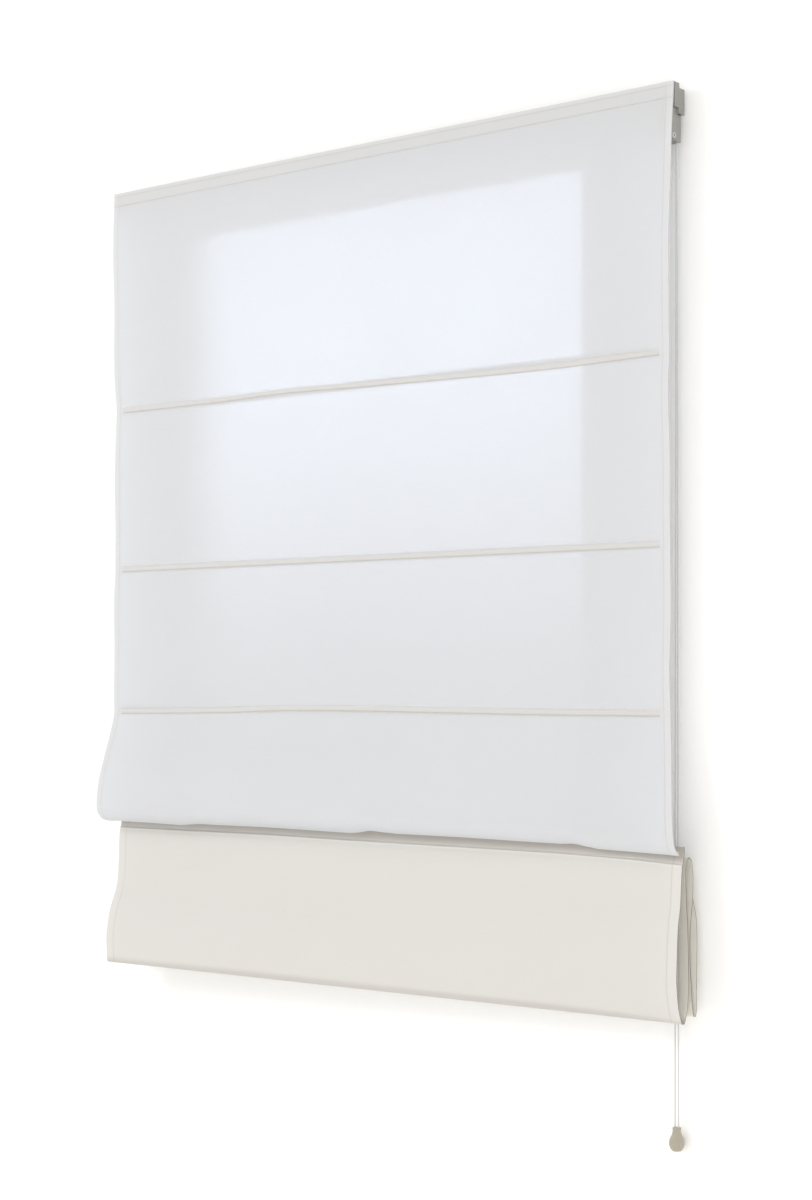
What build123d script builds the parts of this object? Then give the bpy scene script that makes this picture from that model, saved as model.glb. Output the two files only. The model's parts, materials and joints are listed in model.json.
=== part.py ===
"""Roman blind, 1000 mm wide, hung on a wall and partly raised.

X runs along the blind to the right, Y into the wall and Z up, in millimetres.
The origin is the centre of the wall fixing holes, in the plane of the wall.
Heights are written as a drop below the top edge of the cloth, and depths as
a distance towards the wall from the plane that the cloth hangs in.
"""

import os

from build123d import *

os.makedirs("parts", exist_ok=True)

# Overall sizes
cloth_width = 1000.0
wall_to_cloth = 30.0
fixing_drop = 54.0

# Cloth
cloth_thickness = 1.0
rod_drops = (336.0, 577.0, 789.0)
droop_fall = 186.0
front_fold = 193.0
bar_rise = 29.0
gather_shift = 18.0
gather_skew = 10.0
bottom_reach = (36.0, 8.0)
droop_end_gap = 1.6
droop_left = 58.0
droop_right = 20.0

# Rods and their pockets
rod_diameter = 6.0
rod_clearance = 0.3
pocket_wall = 0.7
rod_end_inset = 20.0
pocket_end_inset = 15.0
rod_chamfer = 0.8

# Bottom bar
bar_height = 24.0
bar_thickness = 3.0
bar_corner = 1.2
bar_end_inset = 12.0
hem_above_bar = 8.0

# Hook and loop tape
tape_height = 19.0
tape_thickness = 1.0
tape_drop = 5.0
tape_end_inset = 6.0

# Headrail
rail_wall = 1.2
box_depth = 11.0
box_height = 31.0
channel_depth = 12.5
channel_top_drop = 6.0
channel_drop = 38.0
slot_width = 7.1
rib_height = 3.0
rib_width = 1.2
rib_from_box = 2.6
rail_cap_thickness = 2.0
cap_spigot = 9.0
cap_clearance = 0.2
cap_fillet = 1.0

# Wall brackets
bracket_from_end = 70.0
bracket_width = 30.0
bracket_plate = 2.0
bracket_foot_drop = 69.0
bracket_lip_reach = 4.5
hook_clearance = 0.3
fixing_spacing = 14.0
fixing_hole_diameter = 5.0
bracket_corner = 4.0

# Cords, rings and guides
cord_diameter = 1.8
cord_pitch = 2.0
cord_from_end = 120.0
ring_inner_radius = 1.9
ring_section_radius = 0.9
ring_chamfer = 0.35
ring_pair_gap = 0.2
seat_clearance = 0.3
cord_run_drop = 16.0
turn_radius = 5.0
cord_bend_radius = 60.0
guide_length = 20.0
cheek_thickness = 1.1

# Cord lock
lock_from_end = 4.0
lock_width = 16.0
lock_front_gap = 1.5
lock_drop = 73.0
lock_floor = 3.0
lock_fillet = 1.5
cord_bay_wall = 2.6
lock_roller_radius = 3.4
lock_roller_pin_radius = 1.0
lock_roller_drop = 55.0
lock_slot_rise = 6.0
lock_slot_run = 2.0
eyelet_radius = 3.0
eyelet_bore_radius = 1.6
eyelet_drop = 66.0
eyelet_proud = 0.8
eyelet_clearance = 0.05

# Pull
knob_drop = 1307.0
knob_height = 29.5
knob_top_radius = 5.5
knob_neck_radius = 5.3
knob_belly_radius = 9.8
knob_base_radius = 5.7
knob_collar_height = 3.5
knob_belly_drop = 20.0
knob_edge_chamfer = 0.6
knob_bore_radius = 4.3
knob_bore_depth = 13.0
pull_pitch = 5.0
pull_knot_radius = 3.6
pull_knot_chamfer = 1.2

# Worked out from the sizes above
cloth_plane = -wall_to_cloth
half_width = cloth_width / 2
gather_drop = rod_drops[-1] + droop_fall
bottom_fold_drop = gather_drop + front_fold
bar_drop = bottom_fold_drop - bar_rise
pocket_radius = rod_diameter / 2 + rod_clearance + pocket_wall
rail_front = cloth_plane + cloth_thickness / 2 + 2 * tape_thickness
box_back = rail_front + box_depth
rail_back = box_back + channel_depth
rail_length = cloth_width - 2 * rail_cap_thickness
slot_centre = box_back + (channel_depth - rail_wall) / 2
ring_outer_radius = ring_inner_radius + 2 * ring_section_radius
ring_plane = cloth_plane + pocket_radius + seat_clearance + ring_outer_radius
gather_gap = 2 * (ring_outer_radius + seat_clearance + pocket_radius)
exit_x = half_width - lock_from_end - cord_diameter / 2 - cord_bay_wall
stack_left = -half_width + gather_shift
stack_right = half_width + gather_shift
cord_xs = {"left": -half_width + cord_from_end, "right": half_width - cord_from_end}
cord_rows = {"left": slot_centre - cord_pitch / 2, "right": slot_centre + cord_pitch / 2}


def level(drop):
    """Height of a point that lies this far below the top edge of the cloth."""
    return fixing_drop - drop


# Depths of the gathered rods at the left and the right edge, as Y values: the
# hindmost pocket clears the pull cords at the right
pull_clearance = cord_diameter / 2 + seat_clearance + pocket_radius
gather_back = tuple(cord_rows["left"] - pull_clearance - skew for skew in (gather_skew, 0.0))
gather_front = tuple(y - gather_gap for y in gather_back)
bottom_fold = tuple(cloth_plane - reach for reach in bottom_reach)
bar_depths = tuple(y - 0.5 for y in gather_back)


def finish(piece, name):
    """Label a finished piece and write it."""
    piece.part.label = name
    export_step(piece.part, f"parts/{name}.step")


def line_point(ends, drop, x, left=stack_left, right=stack_right):
    """Point at x on the straight line between the two edge depths."""
    share = (x - left) / (right - left)
    return Vector(x, ends[0] + share * (ends[1] - ends[0]), level(drop))


def round_bar(start, end, radius, chamfer_size=0.0):
    """Straight round bar between two points."""
    with BuildPart(Plane(origin=start, z_dir=end - start)) as bar:
        Cylinder(radius, (end - start).length, align=(Align.CENTER, Align.CENTER, Align.MIN))
        if chamfer_size:
            chamfer(bar.edges().filter_by(GeomType.CIRCLE), chamfer_size)
    return bar


def strip_corners(first, second, thickness):
    """Corners of a thin straight strip between two section points."""
    run = (second - first).normalized()
    side = Vector(-run.Y, run.X) * (thickness / 2)
    return [first + side, second + side, second - side, first - side]


def ruled_panel(left_points, right_points, left, right):
    """Thin straight panel whose section changes evenly from the left edge to the right."""
    with BuildPart() as panel:
        for x, points in ((left, left_points), (right, right_points)):
            with BuildSketch(Plane.YZ.offset(x)):
                with BuildLine():
                    Polyline(*strip_corners(*points, cloth_thickness), close=True)
                make_face()
        loft(ruled=True)
    return panel.part


def rod_between(ends, drop, radius, inset, shift, chamfer_size=0.0):
    """Round bar along a gathered rod's line, stopping short of both cloth edges."""
    start = line_point(ends, drop, -half_width + shift + inset)
    end = line_point(ends, drop, half_width + shift - inset)
    return round_bar(start, end, radius, chamfer_size)


def cord_tube(points, radii):
    """Cord along straight runs that are joined by tangent arcs."""
    with BuildPart() as tube:
        with BuildLine() as route:
            FilletPolyline(*points, radius=radii)
        wire = route.wires()[0]
        with BuildSketch(Plane(origin=wire @ 0, z_dir=wire % 0)):
            Circle(cord_diameter / 2)
        sweep(path=wire)
    return tube


# Headrail: a box that carries the cloth, and an open channel for the cords
with BuildPart() as headrail:
    with BuildSketch(Plane.YZ.offset(-rail_length / 2)):
        with Locations((rail_front + box_depth / 2, level(box_height / 2))):
            Rectangle(box_depth, box_height)
        with Locations((rail_back, level(channel_top_drop))):
            Rectangle(channel_depth + rail_wall, channel_drop - channel_top_drop, align=Align.MAX)
        with Locations((rail_back - rail_wall, level(channel_top_drop + rail_wall))):
            Rectangle(
                channel_depth - rail_wall,
                channel_drop - channel_top_drop - 2 * rail_wall,
                align=Align.MAX,
                mode=Mode.SUBTRACT,
            )
        with Locations((rail_front + box_depth / 2, level(box_height / 2))):
            Rectangle(box_depth - 2 * rail_wall, box_height - 2 * rail_wall, mode=Mode.SUBTRACT)
        with Locations((slot_centre, level(channel_drop))):
            Rectangle(slot_width, 3 * rail_wall, mode=Mode.SUBTRACT)
        with Locations((box_back + rib_from_box, level(channel_top_drop))):
            Rectangle(rib_width, rib_height, align=Align.MIN)
    extrude(amount=rail_length)
finish(headrail, "headrail")


# End caps: a plate of the rail's outline with a spigot in the box
for side, direction in (("left", -1), ("right", 1)):
    with BuildPart() as end_cap:
        with BuildSketch(Plane.YZ.offset(direction * rail_length / 2)):
            with Locations((rail_front + box_depth / 2, level(box_height / 2))):
                Rectangle(box_depth, box_height)
            with Locations((rail_back, level(channel_top_drop))):
                Rectangle(channel_depth + rail_wall, channel_drop - channel_top_drop, align=Align.MAX)
        extrude(amount=direction * rail_cap_thickness)
        outer_face = end_cap.faces().sort_by(Axis.X)[-1 if direction > 0 else 0]
        fillet(outer_face.edges(), cap_fillet)
        with BuildSketch(Plane.YZ.offset(direction * rail_length / 2)):
            with Locations((rail_front + box_depth / 2, level(box_height / 2))):
                Rectangle(
                    box_depth - 2 * (rail_wall + cap_clearance),
                    box_height - 2 * (rail_wall + cap_clearance),
                )
        extrude(amount=-direction * cap_spigot)
    finish(end_cap, f"end_cap_{side}")

# Wall brackets: a plate with fixing holes, an arm that hooks behind the rail's
# rib and a lip that holds the channel's lower edge
hook_front = box_back + hook_clearance
hook_back = box_back + rib_from_box - hook_clearance
arm_drop = channel_top_drop - rib_height
lip_drop = channel_drop + hook_clearance
for side, direction in (("left", -1), ("right", 1)):
    bracket_x = direction * (half_width - bracket_from_end)
    with BuildPart() as bracket:
        with BuildSketch(Plane.YZ.offset(bracket_x - bracket_width / 2)):
            with BuildLine():
                Polyline(
                    (0, level(arm_drop - bracket_plate)),
                    (0, level(bracket_foot_drop)),
                    (-bracket_plate, level(bracket_foot_drop)),
                    (-bracket_plate, level(lip_drop + bracket_plate)),
                    (-bracket_plate - bracket_lip_reach, level(lip_drop + bracket_plate)),
                    (-bracket_plate - bracket_lip_reach, level(lip_drop)),
                    (-bracket_plate, level(lip_drop)),
                    (-bracket_plate, level(arm_drop)),
                    (hook_back, level(arm_drop)),
                    (hook_back, level(channel_top_drop - hook_clearance)),
                    (hook_front, level(channel_top_drop - hook_clearance)),
                    (hook_front, level(arm_drop - bracket_plate)),
                    close=True,
                )
            make_face()
        extrude(amount=bracket_width)
        foot_corners = bracket.edges().filter_by(Axis.Y).group_by(Axis.Z)[0]
        fillet(foot_corners, bracket_corner)
        with Locations(Plane(origin=(bracket_x, 0, 0), x_dir=(1, 0, 0), z_dir=(0, -1, 0))):
            with Locations((0, fixing_spacing / 2), (0, -fixing_spacing / 2)):
                Cylinder(fixing_hole_diameter / 2, 4 * bracket_plate, mode=Mode.SUBTRACT)
    finish(bracket, f"bracket_{side}")

# Hook tape on the rail and loop tape sewn to the back of the cloth
tape_length = cloth_width - 2 * tape_end_inset
for name, tape_front in (
    ("hook_tape", rail_front - tape_thickness),
    ("loop_tape", rail_front - 2 * tape_thickness),
):
    with BuildPart() as tape:
        with BuildSketch(Plane.YZ.offset(-tape_length / 2)):
            with Locations((tape_front, level(tape_drop))):
                Rectangle(tape_thickness, tape_height, align=(Align.MIN, Align.MAX))
        extrude(amount=tape_length)
    finish(tape, name)

# Hanging cloth: the flat upper part with its three rod pockets, and the
# drooping panel that runs forward and back to the first gathered rod
droop_start = rod_drops[-1] + pocket_radius
droop_steps = ((0.0, 0.0), (0.38, 0.35), (0.8, 0.69), (1.0, 0.91), (0.98, 0.97), (0.8, 1.0))
droop_run = gather_drop - droop_start - droop_end_gap


def droop_points(reach, gather_y):
    """Section points of the drooping panel at one edge."""
    points = [
        Vector(cloth_plane - forward * reach, level(droop_start + down * droop_run))
        for forward, down in droop_steps
    ]
    tuck = gather_y - pocket_radius - seat_clearance - cloth_thickness / 2
    points.append(Vector(tuck, level(gather_drop)))
    return points


droop_sides = (
    droop_points(droop_left, gather_front[0]),
    droop_points(droop_right, gather_front[1]),
)
with BuildPart() as cloth_hanging:
    with BuildSketch(Plane.YZ.offset(-half_width)):
        with Locations((cloth_plane, level(0))):
            Rectangle(cloth_thickness, droop_start, align=(Align.CENTER, Align.MAX))
    extrude(amount=cloth_width)
    for drop in rod_drops:
        with BuildSketch(Plane.YZ.offset(-half_width + pocket_end_inset)):
            with Locations((cloth_plane, level(drop))):
                Circle(pocket_radius)
        extrude(amount=cloth_width - 2 * pocket_end_inset)
    for i in range(len(droop_steps)):
        left_pair, right_pair = (points[i:i + 2] for points in droop_sides)
        add(ruled_panel(left_pair, right_pair, -half_width, half_width))
    for drop in rod_drops:
        with BuildSketch(Plane.YZ.offset(-half_width + pocket_end_inset)):
            with Locations((cloth_plane, level(drop))):
                Circle(pocket_radius - pocket_wall)
        extrude(amount=cloth_width - 2 * pocket_end_inset, mode=Mode.SUBTRACT)
finish(cloth_hanging, "cloth_hanging")

# Gathered cloth: front fold, the panel up behind it and the panel with the bar
bar_top = bar_drop - bar_height / 2
hem_depth = bar_thickness + 2 * (rod_clearance + cloth_thickness)
lap = pocket_radius - cloth_thickness
gathered = ((gather_front, gather_drop), (bottom_fold, bottom_fold_drop), (gather_back, gather_drop))
hem_line = (bar_depths, bar_top - hem_above_bar)
panels = (
    (gathered[0], gathered[1], -lap, -lap),
    (gathered[1], gathered[2], lap, -lap),
    (gathered[2], hem_line, lap, 0.0),
)
with BuildPart() as cloth_stack:
    for ends, drop in gathered:
        add(rod_between(ends, drop, pocket_radius, pocket_end_inset, gather_shift).part)
    for (ends_a, drop_a), (ends_b, drop_b), lap_a, lap_b in panels:
        left_pair, right_pair = (
            (Vector(ends_a[i] + lap_a, level(drop_a)), Vector(ends_b[i] + lap_b, level(drop_b)))
            for i in range(2)
        )
        add(ruled_panel(left_pair, right_pair, stack_left, stack_right))
    for i, mode in ((0, Mode.ADD), (1, Mode.SUBTRACT)):
        wall = i * cloth_thickness
        for x, y in ((stack_left, bar_depths[0]), (stack_right, bar_depths[1])):
            with BuildSketch(Plane.YZ.offset(x)):
                with Locations((y, level(bar_drop))):
                    Rectangle(
                        hem_depth - 2 * wall,
                        bar_height + 2 * (hem_above_bar if i == 0 else rod_clearance),
                    )
        loft(ruled=True, mode=mode)
    bore = pocket_radius - pocket_wall
    for ends, drop in gathered:
        add(rod_between(ends, drop, bore, pocket_end_inset, gather_shift).part, mode=Mode.SUBTRACT)
finish(cloth_stack, "cloth_stack")

# Rods: three in the hanging cloth, then the gathered ones from front to back
for number, drop in enumerate(rod_drops, start=1):
    flat = (cloth_plane, cloth_plane)
    rod = rod_between(flat, drop, rod_diameter / 2, rod_end_inset, 0.0, rod_chamfer)
    finish(rod, f"rod_{number}")
for number, (ends, drop) in enumerate(gathered, start=4):
    rod = rod_between(ends, drop, rod_diameter / 2, rod_end_inset, gather_shift, rod_chamfer)
    finish(rod, f"rod_{number}")

# Bottom bar in the hem
with BuildPart() as bottom_bar:
    for x in (stack_left + bar_end_inset, stack_right - bar_end_inset):
        bar_y = line_point(bar_depths, bar_drop, x).Y
        with BuildSketch(Plane.YZ.offset(x)):
            with Locations((bar_y, level(bar_drop))):
                RectangleRounded(bar_thickness, bar_height, bar_corner)
    loft(ruled=True)
finish(bottom_bar, "bottom_bar")

# Rings: a pair behind each rod that the cords pass, and a pair between the gathered rods
gather_ring_offset = pocket_radius + seat_clearance + ring_outer_radius
ring_rows = {
    f"rings_{number}": [Vector(x, ring_plane, level(drop)) for x in cord_xs.values()]
    for number, drop in enumerate(rod_drops, start=1)
}
for name, step in (("rings_4", -1.0), ("rings_6", 1.0)):
    ring_drop = gather_drop + step * (ring_section_radius + ring_pair_gap / 2)
    ring_rows[name] = [
        line_point(gather_front, ring_drop, x) + (0, gather_ring_offset, 0) for x in cord_xs.values()
    ]
for name, centres in ring_rows.items():
    with BuildPart() as rings:
        with Locations(*centres):
            Cylinder(ring_outer_radius, 2 * ring_section_radius)
        chamfer(rings.edges().filter_by(GeomType.CIRCLE), ring_chamfer)
        with Locations(*centres):
            Cylinder(ring_inner_radius, 2 * ring_section_radius, mode=Mode.SUBTRACT)
    finish(rings, name)

# Cord guides: two cheeks on the channel's lips with a round bar between them
bay = 2 * cord_pitch + 0.3
lip_top = channel_drop - rail_wall
bar_radius = turn_radius - cord_diameter / 2 - seat_clearance / 2
bar_centre_drop = cord_run_drop + turn_radius
cheek_top = cord_run_drop - 4.0
guide_hole_radius = (cord_pitch + cord_diameter) / 2 + seat_clearance


def cheek_pair(x_from, x_to, drop_from, drop_to):
    """Two upright plates either side of the cords."""
    with BuildPart() as cheeks:
        for side in (-1, 1):
            centre = slot_centre + side * (bay + cheek_thickness) / 2
            with BuildSketch(Plane.XZ.offset(-centre - cheek_thickness / 2)):
                with Locations(((x_from + x_to) / 2, level((drop_from + drop_to) / 2))):
                    RectangleRounded(x_to - x_from, drop_to - drop_from, cheek_thickness)
            extrude(amount=cheek_thickness)
    return cheeks.part


def turning_bar(x):
    """Round bar that a cord turns over, along Y."""
    with BuildPart(Plane(origin=(x, slot_centre, level(bar_centre_drop)), z_dir=(0, 1, 0))) as bar:
        Cylinder(bar_radius, bay + cheek_thickness)
    return bar.part


for side, x in cord_xs.items():
    with BuildPart() as guide:
        add(cheek_pair(x - guide_length / 2, x + guide_length / 2, cheek_top, lip_top + rail_wall))
        add(turning_bar(x + turn_radius))
        with Locations((x, slot_centre, level(lip_top))):
            Box(
                guide_length,
                channel_depth - 2 * rail_wall - 2 * cap_clearance,
                rail_wall,
                align=(Align.CENTER, Align.CENTER, Align.MIN),
            )
            Cylinder(guide_hole_radius, 6 * rail_wall, mode=Mode.SUBTRACT)
    finish(guide, f"cord_guide_{side}")

# Cord lock: cheeks up into the channel with a turning bar, and a housing below
# the rail with the locking roller in a slanted slot
lock_right = half_width - lock_from_end
lock_left = lock_right - lock_width
lock_front = cloth_plane + cloth_thickness / 2 + lock_front_gap
bay_left = lock_left + cord_bay_wall / 2
bay_right = exit_x + (cord_diameter + seat_clearance) / 2
lock_back = slot_centre + bay / 2 + cord_bay_wall - cheek_thickness
roller_x = exit_x - cord_diameter / 2 - seat_clearance - lock_roller_radius
roller_slot = (
    Vector(roller_x, level(lock_roller_drop)),
    Vector(roller_x - lock_slot_run, level(lock_roller_drop + lock_slot_rise)),
)
eyelet_y = lock_front + eyelet_radius + 2 * eyelet_proud
eyelet_plane = Plane(origin=((lock_left + lock_right) / 2, eyelet_y, level(eyelet_drop)), z_dir=(1, 0, 0))
with BuildPart() as cord_lock:
    with BuildSketch(Plane.YZ.offset(lock_left)):
        with BuildLine():
            Polyline(
                (lock_front, level(box_height + hook_clearance)),
                (box_back - rail_wall - hook_clearance, level(box_height + hook_clearance)),
                (box_back - rail_wall - hook_clearance, level(channel_drop)),
                (lock_back, level(channel_drop)),
                (lock_back, level(lock_drop)),
                (slot_centre - bay, level(lock_drop)),
                (lock_front, level(eyelet_drop + eyelet_radius)),
                close=True,
            )
        make_face()
    extrude(amount=lock_width)
    fillet(cord_lock.edges().filter_by(Axis.X).group_by(Axis.Z)[0], lock_fillet)
    add(cheek_pair(lock_left + lock_fillet, lock_right - lock_fillet, cheek_top, channel_drop + lock_fillet))
    add(turning_bar(exit_x - turn_radius))
    with Locations(((bay_left + bay_right) / 2, slot_centre, level(channel_drop - rail_wall))):
        Box(
            bay_right - bay_left,
            bay,
            lock_drop - lock_floor - channel_drop + rail_wall,
            align=(Align.CENTER, Align.CENTER, Align.MAX),
            mode=Mode.SUBTRACT,
        )
    with Locations(*[(exit_x, y, level(lock_drop)) for y in cord_rows.values()]):
        Cylinder((cord_diameter + seat_clearance) / 2, 4 * lock_floor, mode=Mode.SUBTRACT)
    with BuildSketch(Plane.XZ.offset(-slot_centre)):
        with Locations(*roller_slot):
            Circle(lock_roller_pin_radius + seat_clearance)
        make_hull()
    extrude(amount=bay / 2 + cheek_thickness, both=True, mode=Mode.SUBTRACT)
    with Locations(eyelet_plane):
        Cylinder(eyelet_radius, 2 * lock_width, mode=Mode.SUBTRACT)
finish(cord_lock, "cord_lock_body")

# Locking roller with its pin
roller_plane = Plane(origin=(roller_x, slot_centre, level(lock_roller_drop)), z_dir=(0, 1, 0))
with BuildPart(roller_plane) as lock_roller:
    Cylinder(lock_roller_radius, bay - 2 * seat_clearance)
    chamfer(lock_roller.edges().filter_by(GeomType.CIRCLE), 0.4)
    Cylinder(lock_roller_pin_radius, bay + 2 * cheek_thickness - 2 * seat_clearance)
finish(lock_roller, "cord_lock_roller")

# Tubular eyelet through the front of the lock, with a rolled rim on each side
with BuildPart(eyelet_plane) as eyelet:
    Cylinder(eyelet_radius - eyelet_clearance, lock_width)
    for side in (-1, 1):
        with Locations((0, 0, side * (lock_width + eyelet_proud) / 2)):
            Cylinder(eyelet_radius + eyelet_proud, eyelet_proud)
    Cylinder(eyelet_bore_radius, lock_width + 4 * eyelet_proud, mode=Mode.SUBTRACT)
    rims = eyelet.edges().filter_by(GeomType.CIRCLE).group_by(Axis.X)
    chamfer(rims[0] + rims[-1], eyelet_proud / 3)
finish(eyelet, "lock_eyelet")

# Lift cords: up through the rings, over the guide, along the channel to the lock
for side, x in cord_xs.items():
    row = cord_rows[side]
    tie = line_point(gather_front, gather_drop + 3.0, x) + (0, gather_ring_offset, 0)
    lift_cord = cord_tube(
        [
            tie,
            Vector(x, ring_plane, level(rod_drops[-1])),
            Vector(x, ring_plane, level(rod_drops[0])),
            Vector(x, row, level(channel_drop + 6.0)),
            Vector(x, row, level(cord_run_drop)),
            Vector(exit_x, row, level(cord_run_drop)),
            Vector(exit_x, row, level(lock_drop)),
        ],
        [cord_bend_radius, cord_bend_radius, cord_bend_radius, turn_radius, turn_radius],
    )
    finish(lift_cord, f"lift_cord_{side}")

# Pull cords: from the lock down to the knot inside the knob
knot_drop = knob_drop + knob_height - knob_bore_depth + seat_clearance + pull_knot_radius
for side, offset in (("left", -pull_pitch / 2), ("right", pull_pitch / 2)):
    start = Vector(exit_x, cord_rows[side], level(lock_drop))
    end = Vector(exit_x + offset, slot_centre, level(knob_drop + knob_height - knob_bore_depth))
    finish(round_bar(start, end, cord_diameter / 2), f"pull_cord_{side}")

# Turned knob with a hole for each cord and a bore for their knot: a collar, a
# hollow flare and a round belly, met by arcs that are upright at neck and belly
neck_end = Vector(knob_neck_radius, -knob_collar_height)
belly = Vector(knob_belly_radius, -knob_belly_drop)
flare_end = (neck_end + belly) / 2
with BuildPart() as knob:
    with BuildSketch(Plane(origin=(exit_x, slot_centre, level(knob_drop)), x_dir=(1, 0, 0), z_dir=(0, -1, 0))):
        with BuildLine():
            Line((0, -knob_height), (0, 0))
            Line((0, 0), (knob_top_radius, 0))
            Line((knob_top_radius, 0), (knob_neck_radius, -knob_collar_height))
            flare = TangentArc(neck_end, flare_end, tangent=(0, -1))
            TangentArc(flare_end, belly, tangent=flare % 1)
            TangentArc(belly, (knob_base_radius, -knob_height), tangent=(0, -1))
            Line((knob_base_radius, -knob_height), (0, -knob_height))
        make_face()
    revolve(axis=Axis((exit_x, slot_centre, 0), (0, 0, 1)))
    with Locations((exit_x, slot_centre, level(knob_drop + knob_height))):
        Cylinder(knob_bore_radius, 2 * knob_bore_depth, mode=Mode.SUBTRACT)
    with Locations(*[(exit_x + i * pull_pitch / 2, slot_centre, level(knob_drop)) for i in (-1, 1)]):
        Cylinder(cord_diameter / 2 + seat_clearance, 2 * knob_height, mode=Mode.SUBTRACT)
    top_edge = knob.edges().filter_by(GeomType.CIRCLE).group_by(Axis.Z)[-1].sort_by(SortBy.RADIUS)[-1]
    chamfer(top_edge, knob_edge_chamfer)
finish(knob, "pull_knob")

# Knot that the knob hangs on
with BuildPart(Plane(origin=(exit_x, slot_centre, level(knot_drop)))) as knot:
    Cylinder(pull_knot_radius, 2 * pull_knot_radius)
    chamfer(knot.edges().filter_by(GeomType.CIRCLE), pull_knot_chamfer)
finish(knot, "cord_knot")
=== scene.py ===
"""Looks of the roman blind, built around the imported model.

Lengths are metres. X runs along the blind to the right, Y into the wall and Z
up, and the wall is the plane Y = 0. Cloth is laid out in its own sewing
coordinates: across, from the left hem to the right one, and down, the length
of cloth below the top edge.
"""

from __future__ import annotations

import json
import logging
import math
from collections.abc import Sequence
from dataclasses import dataclass, field
from enum import Enum

import bpy
import numpy as np
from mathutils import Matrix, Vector

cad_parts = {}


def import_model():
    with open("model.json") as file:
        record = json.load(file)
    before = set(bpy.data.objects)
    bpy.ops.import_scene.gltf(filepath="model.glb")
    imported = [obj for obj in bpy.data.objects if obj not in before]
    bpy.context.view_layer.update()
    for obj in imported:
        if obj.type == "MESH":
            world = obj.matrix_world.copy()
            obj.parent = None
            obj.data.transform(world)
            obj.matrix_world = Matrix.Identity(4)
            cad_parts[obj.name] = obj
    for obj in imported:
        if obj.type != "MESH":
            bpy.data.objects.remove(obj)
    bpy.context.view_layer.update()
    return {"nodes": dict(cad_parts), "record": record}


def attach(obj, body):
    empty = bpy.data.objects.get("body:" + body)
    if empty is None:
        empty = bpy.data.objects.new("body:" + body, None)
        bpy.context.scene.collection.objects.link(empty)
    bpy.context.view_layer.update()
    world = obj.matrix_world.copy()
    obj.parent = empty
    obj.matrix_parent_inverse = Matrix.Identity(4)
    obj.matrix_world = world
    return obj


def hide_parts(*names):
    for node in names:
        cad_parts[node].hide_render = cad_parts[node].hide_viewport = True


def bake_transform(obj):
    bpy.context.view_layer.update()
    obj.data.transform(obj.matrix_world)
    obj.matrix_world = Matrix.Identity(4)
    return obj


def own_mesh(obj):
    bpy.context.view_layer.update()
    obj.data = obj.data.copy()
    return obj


log = logging.getLogger("roman_blind")

MM = 0.001
"""One millimetre in the scene's unit."""

Colour = tuple[float, float, float]
"""Linear red, green and blue."""

SEWING = "sewing"
"""Point attribute of a sewn or wound piece: its own coordinates in metres."""


class Body(Enum):
    """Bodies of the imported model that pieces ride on."""

    HEADRAIL = "headrail"
    STACK = "stack"
    PULL = "pull"
    ROD_1 = "rod_1"
    ROD_2 = "rod_2"
    ROD_3 = "rod_3"


class Slot(Enum):
    """Material slots of the record."""

    CLOTH = "cloth"
    CORD = "cord"
    ROD = "rod"
    STEEL = "bracket_steel"


class Grain(Enum):
    """Kinds of surface detail that a moulded or metal piece can have."""

    DRAWN = "fine lines along X"
    TURNED = "fine rings round Z"
    SPRAYED = "orange peel of sprayed paint"
    MOULDED = "fine matt grain of a mould"


def smoothstep(value: np.ndarray) -> np.ndarray:
    """Ease from 0 to 1: the cube curve 3v² − 2v³ of the clipped value."""
    clipped = np.clip(value, 0.0, 1.0)
    return clipped * clipped * (3.0 - 2.0 * clipped)


def bell(distance: np.ndarray, width: float) -> np.ndarray:
    """A bump of height 1: e to the power of minus (distance / width) squared."""
    return np.exp(-np.square(distance / width))


def curve_through(stations: np.ndarray, values: np.ndarray, where: np.ndarray) -> np.ndarray:
    """Smooth curve through given values, as a cubic whose slopes are the mean of its two chords.

    Args:
        stations: Rising positions of the known values.
        values: Known values, one row a station.
        where: Positions to read the curve at.

    Returns:
        The curve's values, one row a position.
    """
    chords = np.diff(values, axis=0) / np.diff(stations)[:, None]
    slopes = np.vstack([chords[:1], 0.5 * (chords[1:] + chords[:-1]), chords[-1:]])
    span = np.clip(np.searchsorted(stations, where, side="right") - 1, 0, len(stations) - 2)
    length = stations[span + 1] - stations[span]
    part = np.clip((where - stations[span]) / length, 0.0, 1.0)[:, None]
    length = length[:, None]
    return (
        (2 * part**3 - 3 * part**2 + 1) * values[span]
        + (part**3 - 2 * part**2 + part) * length * slopes[span]
        + (3 * part**2 - 2 * part**3) * values[span + 1]
        + (part**3 - part**2) * length * slopes[span + 1]
    )


def spread(*spans: tuple[float, float, float]) -> np.ndarray:
    """Rising positions over joined spans, each with its own step.

    Args:
        spans: Start, end and step of each span, in millimetres.

    Returns:
        All positions, in metres, without repeats.
    """
    parts = [np.linspace(start, end, max(2, round((end - start) / step) + 1)) for start, end, step in spans]
    return np.unique(np.round(np.concatenate(parts), 4)) * MM


def put_mesh(
    name: str, points: np.ndarray, faces: list[list[int]], sewing: np.ndarray | None = None
) -> bpy.types.Object:
    """Make a smooth object with sharp folds.

    Args:
        name: The piece's name.
        points: Vertex positions, one row each.
        faces: Vertex numbers of each face, in outward order.
        sewing: The piece's own coordinates, one row a vertex.

    Returns:
        The new object, at the origin.
    """
    mesh = bpy.data.meshes.new(name)
    mesh.from_pydata(points.tolist(), [], faces)
    if sewing is not None:
        layer = mesh.attributes.new(SEWING, "FLOAT_VECTOR", "POINT")
        layer.data.foreach_set("vector", sewing.astype(np.float32).ravel())
    mesh.polygons.foreach_set("use_smooth", np.ones(len(faces), dtype=bool))
    mesh.set_sharp_from_angle(angle=math.radians(48))
    mesh.update()
    piece = bpy.data.objects.new(name, mesh)
    bpy.context.scene.collection.objects.link(piece)
    return piece


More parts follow.
